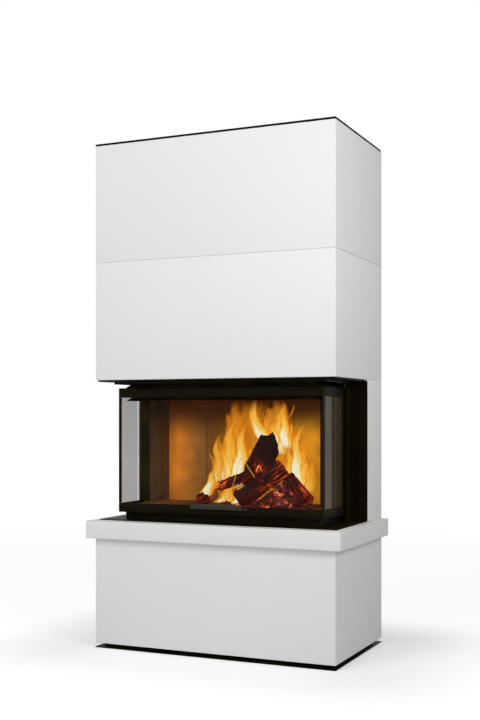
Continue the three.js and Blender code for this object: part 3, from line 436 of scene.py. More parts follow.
def copied(piece, name, matrix):
    """A copy with its own mesh, moved by a matrix."""
    twin = piece.copy()
    twin.data = piece.data.copy()
    twin.name = name
    twin.data.name = name
    bpy.context.scene.collection.objects.link(twin)
    twin.data.transform(matrix)
    if matrix.determinant() < 0:
        twin.data.flip_normals()
    return twin


def joined(name, pieces):
    """Joins pieces into one, in the order given."""
    clear_selection()
    for piece in pieces:
        piece.select_set(True)
    bpy.context.view_layer.objects.active = pieces[0]
    bpy.ops.object.join()
    whole = bpy.context.active_object
    whole.name = name
    whole.data.name = name
    return whole


def dress(piece, finish, body=None, smooth=35):
    """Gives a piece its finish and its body."""
    piece.data.materials.clear()
    piece.data.materials.append(finish.material)
    if smooth:
        activate(piece)
        bpy.ops.object.shade_smooth_by_angle(angle=math.radians(smooth))
    if body:
        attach(piece, body)
    return piece


def coat(finish, *nodes):
    """Gives CAD nodes a finish."""
    for node in nodes:
        data = frame["nodes"][node].data
        data.materials.clear()
        data.materials.append(finish.material)


def rounded(node, finish, width, segments=2, edge=None):
    """A copy of a CAD node with its edges rounded, which stands for the node. Edge is the rounds' own finish."""
    source = frame["nodes"][node]
    body = source["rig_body"]
    piece = copied(source, node + "_rounded", Matrix.Identity(4))
    for key in list(piece.keys()):
        del piece[key]
    piece.parent = None
    edit(
        piece,
        lambda: bpy.ops.mesh.select_all(action="SELECT"),
        lambda: bpy.ops.mesh.remove_doubles(threshold=0.00002),
        lambda: bpy.ops.mesh.dissolve_limited(angle_limit=math.radians(1)),
    )
    modify(
        piece, "BEVEL", width=width, segments=segments, limit_method="ANGLE",
        angle_limit=math.radians(30), use_clamp_overlap=True, harden_normals=False, material=1 if edge else -1,
    )
    dress(piece, finish, body)
    if edge:
        piece.data.materials.append(edge.material)
    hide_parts(node)
    return piece


# --- finishes


def panel_coat(settings):
    finish = Finish("panel_coat", roughness=0.62, specular_ior_level=0.35)
    cloud = finish.noise(1.6, detail=3)
    colour = finish.mix(cloud.between(0.3, 0.7), [c * 0.985 for c in settings.coat], settings.coat)
    finish.set(base_color=colour, roughness=0.58 + 0.1 * finish.noise(35, detail=2))
    grain = finish.noise(900, detail=3) * 0.7 + finish.noise(170, detail=3) * 0.3
    return finish.bump(grain, settings.grain)


def black_coat(settings, name="black_coat", dust=0.6):
    finish = Finish(name, specular_ior_level=0.04)
    speck = finish.noise(1400, detail=2)
    dusty = finish.noise(9, detail=5)
    warm = [c * (1 + dust) for c in settings.black]
    finish.tone(dusty.between(0.35, 0.75), settings.black, warm)
    finish.set(roughness=0.4 + 0.16 * dusty)
    return finish.bump(speck, 0.00006)


def painted_edge_highlight(settings):
    """Painted highlight on the rounds along folded edges: a lighter, glossier black that stands in for the light
    these edges catch.
    """
    finish = Finish("painted_edge_highlight", specular_ior_level=0.4)
    highlight_grain = finish.noise(70, detail=5)
    # painted highlight: the rounds' black is lifted four to nine times, varied at random
    finish.tone(highlight_grain, [c * 4 for c in settings.black], [c * 9 for c in settings.black])
    finish.set(roughness=0.3 + 0.2 * highlight_grain)
    return finish.bump(highlight_grain, 0.00004)


def handle_metal(settings):
    finish = Finish("handle_metal", metallic=0.3, specular_ior_level=0.2)
    streak = finish.noise(60, detail=4, vector=finish.stretched((1, 40, 40)))
    colour = finish.mix(streak, [c * 0.8 for c in settings.handle], [c * 1.25 for c in settings.handle])
    finish.set(base_color=colour, roughness=0.42 + 0.16 * streak)
    return finish.bump(streak, 0.00003)


def machined_steel():
    finish = Finish("machined_steel", metallic=0.9, specular_ior_level=0.5)
    film = finish.noise(220, detail=4)
    finish.tone(film, (0.2, 0.19, 0.175), (0.42, 0.41, 0.39))
    finish.set(roughness=0.3 + 0.2 * film)
    return finish.bump(film, 0.00003)


def zinc_sheet():
    finish = Finish("zinc_sheet", metallic=0.75, specular_ior_level=0.5)
    flake = finish.cells(55, output=1)
    tone = Value(finish, finish.node("ShaderNodeRGBToBW", inputs={0: flake.socket}).outputs[0])
    finish.tone(tone, (0.36, 0.37, 0.375), (0.52, 0.53, 0.535))
    finish.set(roughness=0.32 + 0.22 * tone)
    return finish.bump(finish.noise(160, detail=2), 0.00004)


def cast_iron():
    finish = Finish("cast_iron", metallic=0.35, specular_ior_level=0.4)
    rough = finish.noise(260, detail=6)
    rust = finish.noise(28, detail=5).between(0.56, 0.75)
    finish.tone(rust, (0.028, 0.026, 0.024), (0.07, 0.04, 0.025))
    finish.set(roughness=0.62 + 0.25 * rough)
    return finish.bump(rough, 0.0004)


def seal_tape():
    finish = Finish("seal_tape", roughness=0.95)
    x, y, z = finish.axes()
    weave = ((x + y + z) * 2400).sine() * ((x + y - z) * 2400).sine()
    finish.tone(weave * 0.5 + 0.5, (0.02, 0.019, 0.018), (0.055, 0.052, 0.05))
    return finish.bump(weave, 0.0003)


def fireclay(settings, name, tone, painted_light_strength):
    """Pressed lining board, sooty, with painted firelight: an emission that stands in for the fire's light falling
    on it. The last argument scales that painted light.
    """
    finish = Finish(name, specular_ior_level=0.1)
    x, y, z = finish.axes()
    flakes = finish.cells(330)
    cloud = finish.noise(7, detail=6, distortion=0.9)
    smoke = finish.noise(3.2, detail=4, distortion=0.5)
    board = finish.mix(flakes, [c * 0.75 for c in tone], [c * 1.2 for c in tone])
    finish.set(roughness=0.86 + 0.1 * flakes)
    joint = abs(abs(x) - JOINT_X).between(0.0006, 0.0035) * abs(x).between(0.0006, 0.0035)
    cut = abs(y - SIDE_JOINT_Y).between(0.001, 0.005)
    # Masks of the painted firelight: it fades towards the top of the window, grows near the bed, is dappled, and
    # dims along the board joints.
    top = 1 - z.between(WINDOW_HIGH - 0.19, WINDOW_HIGH - 0.005)
    foot = z.between(BED_Z, BED_Z + 0.12) * 0.4 + 0.6
    dapple = cloud.between(0.25, 0.7) * 0.45 + smoke.between(0.3, 0.65) * 0.35 + 0.4
    along = (x + FIRE_HALF) / (2 * FIRE_HALF)
    # painted firelight: a glow colour that changes across the wall from left to right
    painted_firelight = finish.ramp(
        along, (0.0, (0.5, 0.15, 0.013)), (0.06, (0.66, 0.19, 0.018)), (0.12, (0.5, 0.165, 0.02)),
        (0.19, (0.3, 0.12, 0.024)), (0.27, (0.17, 0.065, 0.012)), (0.36, (0.3, 0.11, 0.01)),
        (0.62, (0.62, 0.24, 0.018)),
        (0.86, (0.8, 0.31, 0.016)), (1.0, (0.5, 0.16, 0.01)),
    )
    share = (top * foot * dapple * (joint * 0.85 + 0.15) * (0.04 + top * 0.96)).clamped()
    sooty = finish.mix(cloud.between(0.4, 0.75), board, [c * 0.4 for c in tone])
    finish.tone(cut, [c * 0.1 for c in tone], sooty)
    # painted firelight: the board emits a faint red everywhere and the glow colour where the masks let it
    shine = finish.mix(share, (0.03, 0.006, 0.001), painted_firelight)
    finish.set(emission_color=shine, emission_strength=settings.glow * painted_light_strength)
    return finish.bump(flakes + cloud * 1.5, 0.0005)


def pane(name, tint, face_on, edge_on, printed=False):
    """Heat-proof glass, smoked a little, that grows denser as it is seen edge-on. A printed pane carries a painted
    highlight along the print's edge and a painted warm glow on the print, stronger on the left pane.
    """
    finish = Finish(name, roughness=0.05, specular_ior_level=0.12)
    slant = Value(finish, finish.node("ShaderNodeLayerWeight", inputs={"Blend": 0.5}).outputs["Facing"])
    film = finish.noise(6, detail=5, distortion=0.6)
    clear = slant * (edge_on - face_on) + face_on + (film - 0.5) * 0.05
    colour = finish.mix(film.between(0.3, 0.7), [c * 0.85 for c in tint], [c * 1.1 for c in tint])
    if printed:
        x, y, _ = finish.axes()
        print_share = y.above(PRINT_Y)
        # painted highlight: a pale, clearer strip along the print's edge
        painted_highlight = print_share * (1 - y.above(PRINT_Y + PAINTED_HIGHLIGHT_WIDTH))
        clear = clear + print_share * (0.985 - clear) - painted_highlight * 0.765
        colour = finish.mix(print_share, colour, (0.03, 0.023, 0.012))
        colour = finish.mix(painted_highlight, colour, (0.25, 0.245, 0.2))
        # painted warm glow: the print, apart from its painted highlight, emits a faint warm light, stronger on the
        # left pane (x below 0)
        inner = (print_share - painted_highlight) * (0.3 + 0.7 * (0 - x).above(0))
        warm = finish.mix(inner, (0, 0, 0), (0.045, 0.033, 0.018))
        finish.set(emission_color=warm, emission_strength=1.0)
    finish.set(base_color=colour, alpha=clear.clamped())
    return finish


def charred_wood(settings, name, heat, onset):
    """Charred bark. Cracks along the grain glow, most of all near the embers."""
    finish = Finish(name, specular_ior_level=0.15)
    z = finish.axes()[2]
    grain = finish.node("ShaderNodeAttribute", {"attribute_name": "grain"}).outputs["Vector"]
    fibre = finish.noise(42, detail=6, roughness=0.65, vector=grain)
    seam = finish.noise(26, detail=3, vector=grain, distortion=0.5)
    block = finish.cells(48, feature="DISTANCE_TO_EDGE", vector=grain)
    crack = ((1 - abs(seam - 0.5).between(0.0, 0.045)) + (1 - block.between(0.0, 0.07)) * 0.8).clamped()
    patch = finish.noise(10, detail=4, distortion=0.8).between(0.4, 0.66)
    near = 1 - z.between(BED_Z + 0.03, BED_Z + 0.3)
    ash = finish.noise(30, detail=5).between(0.62, 0.8) * 0.3
    finish.tone(ash, (0.01, 0.006, 0.005), (0.1, 0.085, 0.078))
    finish.set(roughness=0.78 + 0.2 * fibre)
    along = Value(finish, finish.node("ShaderNodeSeparateXYZ", inputs={0: grain}).outputs[2]) / GRAIN_STRETCH
    share = along.between(*onset) * heat
    glow = (crack * fibre.between(0.32, 0.6) * (patch * 0.8 + near * 0.4) * share + patch * near * 0.12).clamped()
    shine = finish.ramp(
        glow, (0.0, (0.01, 0.0008, 0.0005)), (0.2, (0.075, 0.004, 0.002)), (0.5, (0.42, 0.03, 0.006)),
        (0.8, (0.95, 0.16, 0.02)), (1.0, (1.0, 0.45, 0.12)),
    )
    finish.set(emission_color=shine, emission_strength=settings.ember)
    return finish.bump(block.between(0, 0.2) + fibre * 0.8 - crack * 0.3, 0.005)


def ember_glow(settings, name, heat):
    """Live coals: dark skins, glowing between the cracks."""
    finish = Finish(name, roughness=0.95, specular_ior_level=0.05)
    coal = finish.cells(80, feature="DISTANCE_TO_EDGE")
    patch = finish.noise(19, detail=5, distortion=0.9)
    fine = finish.noise(120, detail=3)
    x, _, z = finish.axes()
    near = (1 - abs((x - 0.14) / 0.32)).between(0.0, 0.75)
    low = 1 - z.between(BED_Z + 0.03, BED_Z + 0.12) * 0.35
    hot = ((1 - coal.between(0.0, 0.16)) * 0.3 + patch.between(0.5, 0.72) * 0.85) * fine.between(0.3, 0.6) * low
    finish.tone(patch.between(0.4, 0.7), (0.02, 0.012, 0.01), (0.1, 0.08, 0.07))
    shine = finish.ramp(
        (hot * near * heat).clamped(), (0.0, (0.012, 0.0008, 0.0006)), (0.25, (0.1, 0.005, 0.003)),
        (0.6, (0.85, 0.09, 0.01)), (0.85, (1.0, 0.34, 0.05)), (1.0, (1.0, 0.68, 0.24)),
    )
    finish.set(emission_color=shine, emission_strength=settings.ember)
    return finish.bump(coal + patch, 0.004)


def flame_veil(settings, name, offset, heat, body, taper, fray):
    """Flame on a sheet's own UV map: bright at the foot, torn into tongues towards the tip."""
    finish = Finish(name, base_color=(0, 0, 0), roughness=1.0, specular_ior_level=0)
    u, v = finish.uv()
    coords = finish.node("ShaderNodeTexCoord").outputs["UV"]
    wide = finish.node("ShaderNodeMapping", inputs={"Vector": coords, "Scale": (2.6, 0.8, 1), "Location": offset})
    long = finish.node("ShaderNodeMapping", inputs={"Vector": coords, "Scale": (9, 1.2, 1), "Location": offset})
    torn = finish.noise(1.6, detail=5, roughness=0.55, vector=wide.outputs[0], distortion=1.0)
    strand = finish.noise(2.2, detail=4, vector=long.outputs[0], distortion=0.8)
    side = abs(u + (torn - 0.5) * (v * fray + 0.08) - 0.5) * 2
    width = (1 - v) ** taper * 0.9 + 0.03
    mass = 1 - (side / width).between(0.1, 1.0)
    tongue = (mass * (torn * 1.1 + strand * 0.9 - 0.2 - v * 0.15)).clamped()
    fade = v.between(0.0, 0.12) * (1 - v.between(0.75, 1.0))
    hot = (tongue * (1.1 - v * 0.5) * heat).clamped()
    colour = finish.ramp(
        hot, (0.0, (0.52, 0.11, 0.003)), (0.3, (0.84, 0.27, 0.01)), (0.6, (1.0, 0.5, 0.045)),
        (0.85, (1.0, 0.78, 0.22)), (1.0, (1.0, 0.96, 0.72)),
    )
    alpha = (tongue.between(0.0, 0.5) * fade * body).clamped()
    finish.set(emission_color=colour, emission_strength=settings.flame, alpha=alpha)
    return finish


# --- operators


class STOVE_OT_panels(bpy.types.Operator):
    """Coats the stacked white panels"""

    bl_idname = "stove.panels"
    bl_label = "White panels"

    def execute(self, context):
        finish = panel_coat(context.scene.stove_panels)
        for node in ("pedestal", "collar", "hood_lower", "hood_upper", "left_column", "right_column"):
            rounded(node, finish, 0.0016, segments=3)
        return {"FINISHED"}


class STOVE_OT_steelwork(bpy.types.Operator):
    """Coats the black steel and softens its folded edges"""

    bl_idname = "stove.steelwork"
    bl_label = "Black steelwork"

    def execute(self, context):
        settings = context.scene.stove_metal
        finish = black_coat(settings)
        inside = black_coat(settings, "stove_inside", dust=6)
        edge_highlight = painted_edge_highlight(settings)
        # painted highlight on the rounds of the rails, stiles and beads
        for node in (
            "door_top_rail", "door_bottom_rail", "left_rear_stile", "right_rear_stile", "left_corner_bead",
            "right_corner_bead",
        ):
            rounded(node, finish, settings.edge, edge=edge_highlight)
        for node in ("hood_carrier", "hearth_tray", "floor_plate", "lintel_frame"):
            rounded(node, finish, settings.edge)
        lid = rounded("top_plate", finish, settings.edge / 2)
        low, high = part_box("top_plate")
        for corner in lid.data.vertices:
            corner.co.y -= LID_LIP * (corner.co.y < low.y + LID_EDGE)
            corner.co.x += LID_LIP * ((corner.co.x > high.x - LID_EDGE) - (corner.co.x < low.x + LID_EDGE))
        coat(
            finish, "insert_stand", "left_cheek_plate", "right_cheek_plate", "insert_base",
            "left_guide_channel", "right_guide_channel", "flue_elbow",
        )
        coat(inside, "firebox_shell", "smoke_dome", "air_wash_deflector")
        rounded("door_handle", handle_metal(settings), 0.0012, segments=3)
        return {"FINISHED"}


class STOVE_OT_machinery(bpy.types.Operator):
    """Finishes the rollers, shaft, counterweights, covers, seals and slide"""

    bl_idname = "stove.machinery"
    bl_label = "Lift machinery"

    def execute(self, context):
        steel = machined_steel()
        coat(
            steel, "lift_shaft", "left_lower_roller", "right_lower_roller", "left_upper_roller",
            "right_upper_roller",
        )
        rounded("air_slide", black_coat(context.scene.stove_metal, "slide_coat", dust=1.2), 0.0008)
        zinc = zinc_sheet()
        coat(zinc, "rear_cover_hood", "rear_cover_middle", "ash_pan")
        coat(cast_iron(), "left_counterweight", "right_counterweight", "grate")
        coat(seal_tape(), "lower_door_seal", "upper_door_seal")
        return {"FINISHED"}


class STOVE_OT_glazing(bpy.types.Operator):
    """Finishes the three panes of the door"""

    bl_idname = "stove.glazing"
    bl_label = "Door glazing"

    def execute(self, context):
        coat(pane("front_pane", (0.02, 0.016, 0.01), 0.04, 0.3), "front_glass")
        side = pane("side_pane", (0.12, 0.083, 0.046), 0.12, 0.66, printed=True)
        coat(side, "left_side_glass", "right_side_glass")
        return {"FINISHED"}


class STOVE_OT_lining(bpy.types.Operator):
    """Finishes the lining boards, the hearth bricks and the baffle"""

    bl_idname = "stove.lining"
    bl_label = "Firebox lining"

    def execute(self, context):
        settings = context.scene.stove_fire
        # the last number scales each board's painted firelight
        board = fireclay(settings, "lining_board", (0.045, 0.026, 0.012), 1.0)
        coat(board, "back_lining_1", "back_lining_2", "back_lining_3", "back_lining_4")
        side = fireclay(settings, "side_board", (0.13, 0.095, 0.058), 0.05)
        coat(side, "left_side_lining", "right_side_lining", "baffle")
        brick = fireclay(settings, "hearth_board", (0.05, 0.025, 0.012), 0.28)
        coat(brick, "left_hearth_brick", "right_hearth_brick")
        return {"FINISHED"}


# --- chains


def link_plate(name, thickness, half_height):
    """One side plate of a chain link, lying along Z between two pins, waisted in the middle."""
    plate = drum(name, 16, half_height, thickness, (0, 0, 0), (0, math.pi / 2, 0))
    for corner in plate.data.vertices:
        if corner.co.z > 0.0001:
            corner.co.z += CHAIN_PITCH
        elif corner.co.z > -0.0001:
            corner.co.y *= LINK_WAIST
            corner.co.z += CHAIN_PITCH / 2
    return plate


def chain_link(name, outer):
    """A link between the pin at the origin and the next pin one pitch up."""
    offset = 0.0056 if outer else 0.0042
    parts = []
    for side in (-1, 1):
        plate = link_plate(name + "_plate", 0.0012, 0.0062)
        plate.data.transform(Matrix.Translation((side * offset, 0, 0)))
        parts.append(plate)
    bush = 0.0048 if outer else 0.0036
    radius = 0.0026 if outer else 0.007
    for z in (0, CHAIN_PITCH):
        length = 2 * (bush + 0.0014 if outer else bush)
        parts.append(drum(name + "_drum", 12, radius, length, (0, 0, z), (0, math.pi / 2, 0)))
    return joined(name, parts)


def chain_route():
    """Pins of the chain in Y and Z, as the solids have them: front run up, over the sprocket, rear run down."""
    pitch_radius = CHAIN_PITCH / (2 * math.sin(math.pi / SPROCKET_TEETH))
    front_count = int((SHAFT_Z - CHAIN_LOW.z - 0.028) / CHAIN_PITCH)
    rear_count = int((SHAFT_Z - WEIGHT_HIGH.z - 0.014) / CHAIN_PITCH)
    front = [(FRONT_RUN_Y, SHAFT_Z - i * CHAIN_PITCH) for i in range(front_count, -1, -1)]
    turns = [math.pi - math.tau * i / SPROCKET_TEETH for i in range(SPROCKET_TEETH // 2 + 1)]
    wrap = [(SHAFT_Y + pitch_radius * math.cos(a), SHAFT_Z + pitch_radius * math.sin(a)) for a in turns]
    rear = [(REAR_RUN_Y, SHAFT_Z - i * CHAIN_PITCH) for i in range(rear_count + 1)]
    return front, wrap, rear


def laid_links(name, pins, inner, outer, x):
    """Links laid from pin to pin at one side of the stove."""
    laid = []
    for i, (start, end) in enumerate(zip(pins, pins[1:])):
        tilt = math.atan2(-(end[0] - start[0]), end[1] - start[1])
        matrix = Matrix.Translation((x, start[0], start[1])) @ Matrix.Rotation(tilt, 4, "X")
        laid.append(copied(outer if i % 2 else inner, f"{name}_{i}", matrix))
    return joined(name, laid)


def rod(name, x, y, low, high):
    """An upright rod, which ties a chain's end to what it carries."""
    return drum(name, 12, 0.003, high - low, (x, y, (low + high) / 2))


class STOVE_OT_chains(bpy.types.Operator):
    """Lays roller chain from the door over each sprocket to its counterweight"""

    bl_idname = "stove.chains"
    bl_label = "Roller chains"

    def execute(self, context):
        steel = machined_steel()
        inner = chain_link("inner_link", False)
        outer = chain_link("outer_link", True)
        front, wrap, rear = chain_route()
        if len(front) < 6 or len(rear) < 3:
            raise RuntimeError("the chain is too short to lay")
        keep = (SHAFT_Z - CHAIN_LOW.z - STROKE) / (SHAFT_Z - CHAIN_LOW.z)
        for side, x in (("left", -CHAIN_X), ("right", CHAIN_X)):
            run = joined(side + "_chain_front", [
                laid_links(side + "_front_links", front, inner, outer, x),
                rod(side + "_front_rod", x, FRONT_RUN_Y, CHAIN_LOW.z + 0.0002, front[0][1]),
            ])
            dress(run, steel, "stove")
            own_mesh(run)
            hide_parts(side + "_chain")
            over = laid_links(side + "_chain_wrap", wrap, inner, outer, x)
            dress(over, steel, "stove")
            tail = joined(side + "_chain_rear", [
                laid_links(side + "_rear_links", rear, inner, outer, x),
                rod(side + "_rear_rod", x, REAR_RUN_Y, WEIGHT_HIGH.z + 0.0002, rear[-1][1]),
            ])
            dress(tail, steel, None)
            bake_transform(tail)
        for pattern in (inner, outer):
            bpy.data.objects.remove(pattern)
        return {"FINISHED"}


# --- small hardware


def screw_pattern():
    """A round-headed screw that stands on the XY plane, with a round recess."""
    head = drum("screw", 20, 0.0042, 0.0022, (0, 0, 0.0011))
    pick(head, lambda centre, normal: normal.z > 0.9)
    edit(
        head,
        lambda: bpy.ops.mesh.inset(thickness=0.0006),
        lambda: bpy.ops.transform.translate(value=(0, 0, 0.0007)),
        lambda: bpy.ops.mesh.inset(thickness=0.0016),
        lambda: bpy.ops.mesh.extrude_region_move(TRANSFORM_OT_translate={"value": (0, 0, -0.0016)}),
    )
    return head


class STOVE_OT_screws(bpy.types.Operator):
    """Puts screws on the rear covers"""

    bl_idname = "stove.screws"
    bl_label = "Screws"

    def execute(self, context):
        steel = machined_steel()
        pattern = screw_pattern()
        backwards = Matrix.Rotation(-math.pi / 2, 4, "X")
        placed = []
        for node, rows in (("rear_cover_hood", 6), ("rear_cover_middle", 4)):
            low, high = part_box(node)
            for row in range(rows):
                z = low.z + SCREW_ROW_INSET + (high.z - low.z - 2 * SCREW_ROW_INSET) * row / (rows - 1)
                for x in (low.x + SCREW_SIDE_INSET, high.x - SCREW_SIDE_INSET):
                    matrix = Matrix.Translation((x, high.y - SCREW_SINK, z)) @ backwards
                    placed.append(copied(pattern, "cover_screw", matrix))
        screws = joined("cover_screws", placed)
        dress(screws, steel, "stove")
        bpy.data.objects.remove(pattern)
        return {"FINISHED"}


# --- fire


# Each log: the solid that it stands for, its cut end as corners around the end's middle (to the right and up,
# in metres), the middle of that end, the middle of the far end, the far end's size, how hot it glows, from
# where to where along it the glow sets in, and which way the cut end faces (none: square to the log).
LOGS = (
    (
        "log_leaning",
        ((-0.04, 0.068), (-0.012, 0.062), (0.012, 0.078), (0.026, 0.048), (0.038, -0.006), (0.024, -0.052),
         (-0.016, -0.066), (-0.044, -0.02)),
        (0.172, -0.062, 0.826), (0.0, 0.045, 0.632), 0.92, 1.1, (0.015, 0.1), (0.34, -0.94, 0),
    ),
    (
        "log_front",
        ((-0.044, 0.02), (-0.02, 0.04), (0.014, 0.044), (0.04, 0.022), (0.046, -0.014), (0.02, -0.038),
         (-0.022, -0.04), (-0.046, -0.014)),
        (0.236, -0.07, 0.756), (0.06, -0.13, 0.616), 0.96, 1.1, (0.17, 0.05), None,
    ),
    (
        "log_right",
        ((-0.028, 0.02), (0.002, 0.034), (0.028, 0.018), (0.032, -0.01), (0.008, -0.03), (-0.028, -0.016)),
        (0.352, -0.108, 0.624), (0.246, -0.052, 0.712), 1.0, 0.65, (-0.1, 0.06), None,
    ),
    (
        "log_small",
        ((-0.025, 0.01), (-0.008, 0.026), (0.016, 0.022), (0.027, 0.0), (0.014, -0.023), (-0.016, -0.022)),
        (-0.098, -0.06, 0.654), (0.07, -0.034, 0.722), 1.0, 1.0, (-0.1, 0.03), None,
    ),
    (
        None,
        ((-0.026, 0.006), (-0.018, 0.021), (0.002, 0.027), (0.02, 0.018), (0.027, -0.002), (0.018, -0.02),
         (-0.004, -0.026), (-0.022, -0.014)),
        (-0.107, -0.132, 0.622), (-0.146, 0.02, 0.63), 1.0, 0.6, (-0.1, 0.03), None,
    ),
)


def split_log(name, section, near, far, far_size, cut):
    """A split log: its cut end drawn out to the far end, cut finely, with bark pushed in and out."""
    near, far = Vector(near), Vector(far)
    axis = far - near
    log = fresh(
        bpy.ops.mesh.primitive_circle_add, name, vertices=len(section), radius=0.03, fill_type="NGON",
        location=(0, 0, 0),
    )
    face = Vector(cut or near - far).normalized()
    right = Vector((0, 0, 1)).cross(face).normalized()
    upward = face.cross(right)
    for corner, (across, up) in zip(log.data.vertices, section):
        corner.co = near + right * across + upward * up
    edit(
        log,
        lambda: bpy.ops.mesh.select_all(action="SELECT"),
        lambda: bpy.ops.mesh.extrude_region_move(TRANSFORM_OT_translate={"value": axis}),
        lambda: bpy.ops.transform.resize(value=(far_size, far_size, far_size), center_override=far),
        lambda: bpy.ops.mesh.select_all(action="SELECT"),
        lambda: bpy.ops.mesh.normals_make_consistent(inside=False),
    )
    modify(log, "REMESH", mode="VOXEL", voxel_size=LOG_VOXEL)
    length = axis.length
    axis.normalize()
    across = axis.orthogonal().normalized()
    third = axis.cross(across)
    grain = log.data.attributes.new("grain", "FLOAT_VECTOR", "POINT")
    moved = []
    for i, corner in enumerate(log.data.vertices):
        offset = corner.co - near
        along = offset.dot(axis)
        stretched = Vector((offset.dot(across), offset.dot(third), along * GRAIN_STRETCH))
        grain.data[i].vector = stretched
        ridge = abs(noise.noise(stretched * 60)) * 0.011 + abs(noise.noise(corner.co * 42)) * 0.006
        flat = min(1.0, max(0.15, along / 0.012)) * min(1.0, max(0.3, (length - along) / 0.01))
        moved.append(corner.co - corner.normal * ridge * flat)
    for corner, place in zip(log.data.vertices, moved):
        corner.co = place
        corner.co.z = max(corner.co.z, BED_Z + 0.0004)
    return log


class STOVE_OT_firewood(bpy.types.Operator):
    """Shapes the charred logs"""

    bl_idname = "stove.firewood"
    bl_label = "Firewood"

    def execute(self, context):
        settings = context.scene.stove_fire
        for i, (node, section, near, far, far_size, heat, onset, cut) in enumerate(LOGS):
            log = split_log(f"{node or 'log_round'}_charred", section, near, far, far_size, cut)
            bark = charred_wood(settings, f"charred_wood_{i + 1}", heat, onset)
            dress(log, bark, "stove", smooth=50)
            if node:
                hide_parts(node)
        return {"FINISHED"}


def mound(x, y):
    """How high the heap of embers under the right-hand logs stands at a place."""
    return 0.072 * math.exp(-(((x - 0.236) / 0.07) ** 2) - ((y + 0.09) / 0.04) ** 2)


def coal_pattern():
    """One lump of coal, about a unit across."""
    coal = fresh(bpy.ops.mesh.primitive_ico_sphere_add, "coal", subdivisions=3, radius=0.5, location=(0, 0, 0))
    for corner in coal.data.vertices:
        corner.co *= 1 - 0.5 * abs(noise.noise(corner.co * 2.6)) - 0.15 * abs(noise.noise(corner.co * 7))
    return coal


class STOVE_OT_embers(bpy.types.Operator):
    """Spreads ash and embers over the hearth"""

    bl_idname = "stove.embers"
    bl_label = "Ash and embers"

    def execute(self, context):
        settings = context.scene.stove_fire
        middle = Vector((0.12, (FIRE_FRONT + FIRE_BACK) / 2 - 0.06, BED_Z + 0.0005))
        bed = fresh(
            bpy.ops.mesh.primitive_grid_add, "ember_bed", x_subdivisions=170, y_subdivisions=70, size=1,
            location=middle,
        )
        bed.scale = (*BED_SIZE, 1)
        settle(bed)
        for corner in bed.data.vertices:
            across = 2 * (corner.co.x - middle.x) / BED_SIZE[0]
            deep = 2 * (corner.co.y - middle.y) / BED_SIZE[1]
            crown = max(0.0, 1 - across ** 4) * max(0.0, 1 - deep ** 4)
            lump = abs(noise.noise(corner.co * 38)) + abs(noise.noise(corner.co * 90)) * 0.4
            corner.co.z += crown * (0.004 + 0.03 * lump) + mound(corner.co.x, corner.co.y) * (0.8 + 0.45 * lump)
        dress(bed, ember_glow(settings, "ember_bed", 1.25), "stove", smooth=60)

        pattern = coal_pattern()
        coals = []
        for i in range(COALS):
            roll = [abs(noise.cell(Vector((i * 7.3, k * 3.1, 0.5)))) % 1 for k in range(7)]
            x = 0.235 + (roll[0] * 2 - 1) * 0.125
            y = -0.138 + roll[1] * 0.06
            rise = mound(x, y) * (0.85 + 0.5 * roll[2])
            size = 0.012 + 0.02 * roll[3]
            turn = Matrix.Rotation(roll[4] * 6.3, 4, "Z") @ Matrix.Rotation(roll[5] * 6.3, 4, "X")
            shape = Matrix.Diagonal((size * 1.5, size * 0.8, size * 0.8, 1))
            matrix = Matrix.Translation((x, y, BED_Z + 0.01 + rise)) @ turn @ shape
            coals.append(copied(pattern, f"coal_{i}", matrix))
        heap = joined("ember_heap", coals)
        for corner in heap.data.vertices:
            corner.co.z = max(corner.co.z, BED_Z + 0.0004)
        dress(heap, ember_glow(settings, "ember_heap", 1.15), "stove", smooth=40)
        bpy.data.objects.remove(pattern)
        return {"FINISHED"}


# Each veil: its name, the shift of its pattern, heat, density, taper and how torn its sides are.
VEILS = (
    ("flame_a", (0.0, 0.0, 0.0), 1.0, 0.85, 0.7, 0.9),
    ("flame_b", (4.3, 1.7, 0.0), 1.2, 0.85, 0.7, 0.9),
    ("flame_c", (9.1, 3.9, 0.0), 0.8, 0.65, 0.4, 0.9),
    ("flame_d", (17.2, 7.3, 0.0), 0.65, 0.5, 0.35, 0.9),
    ("flame_glow", (14.7, 6.2, 0.0), 0.45, 0.38, 0.3, 0.5),
)
LICK_VEIL = ("flame_lick", (2.9, 5.5, 0.0), 0.95, 0.42, 0.1, 0.15)

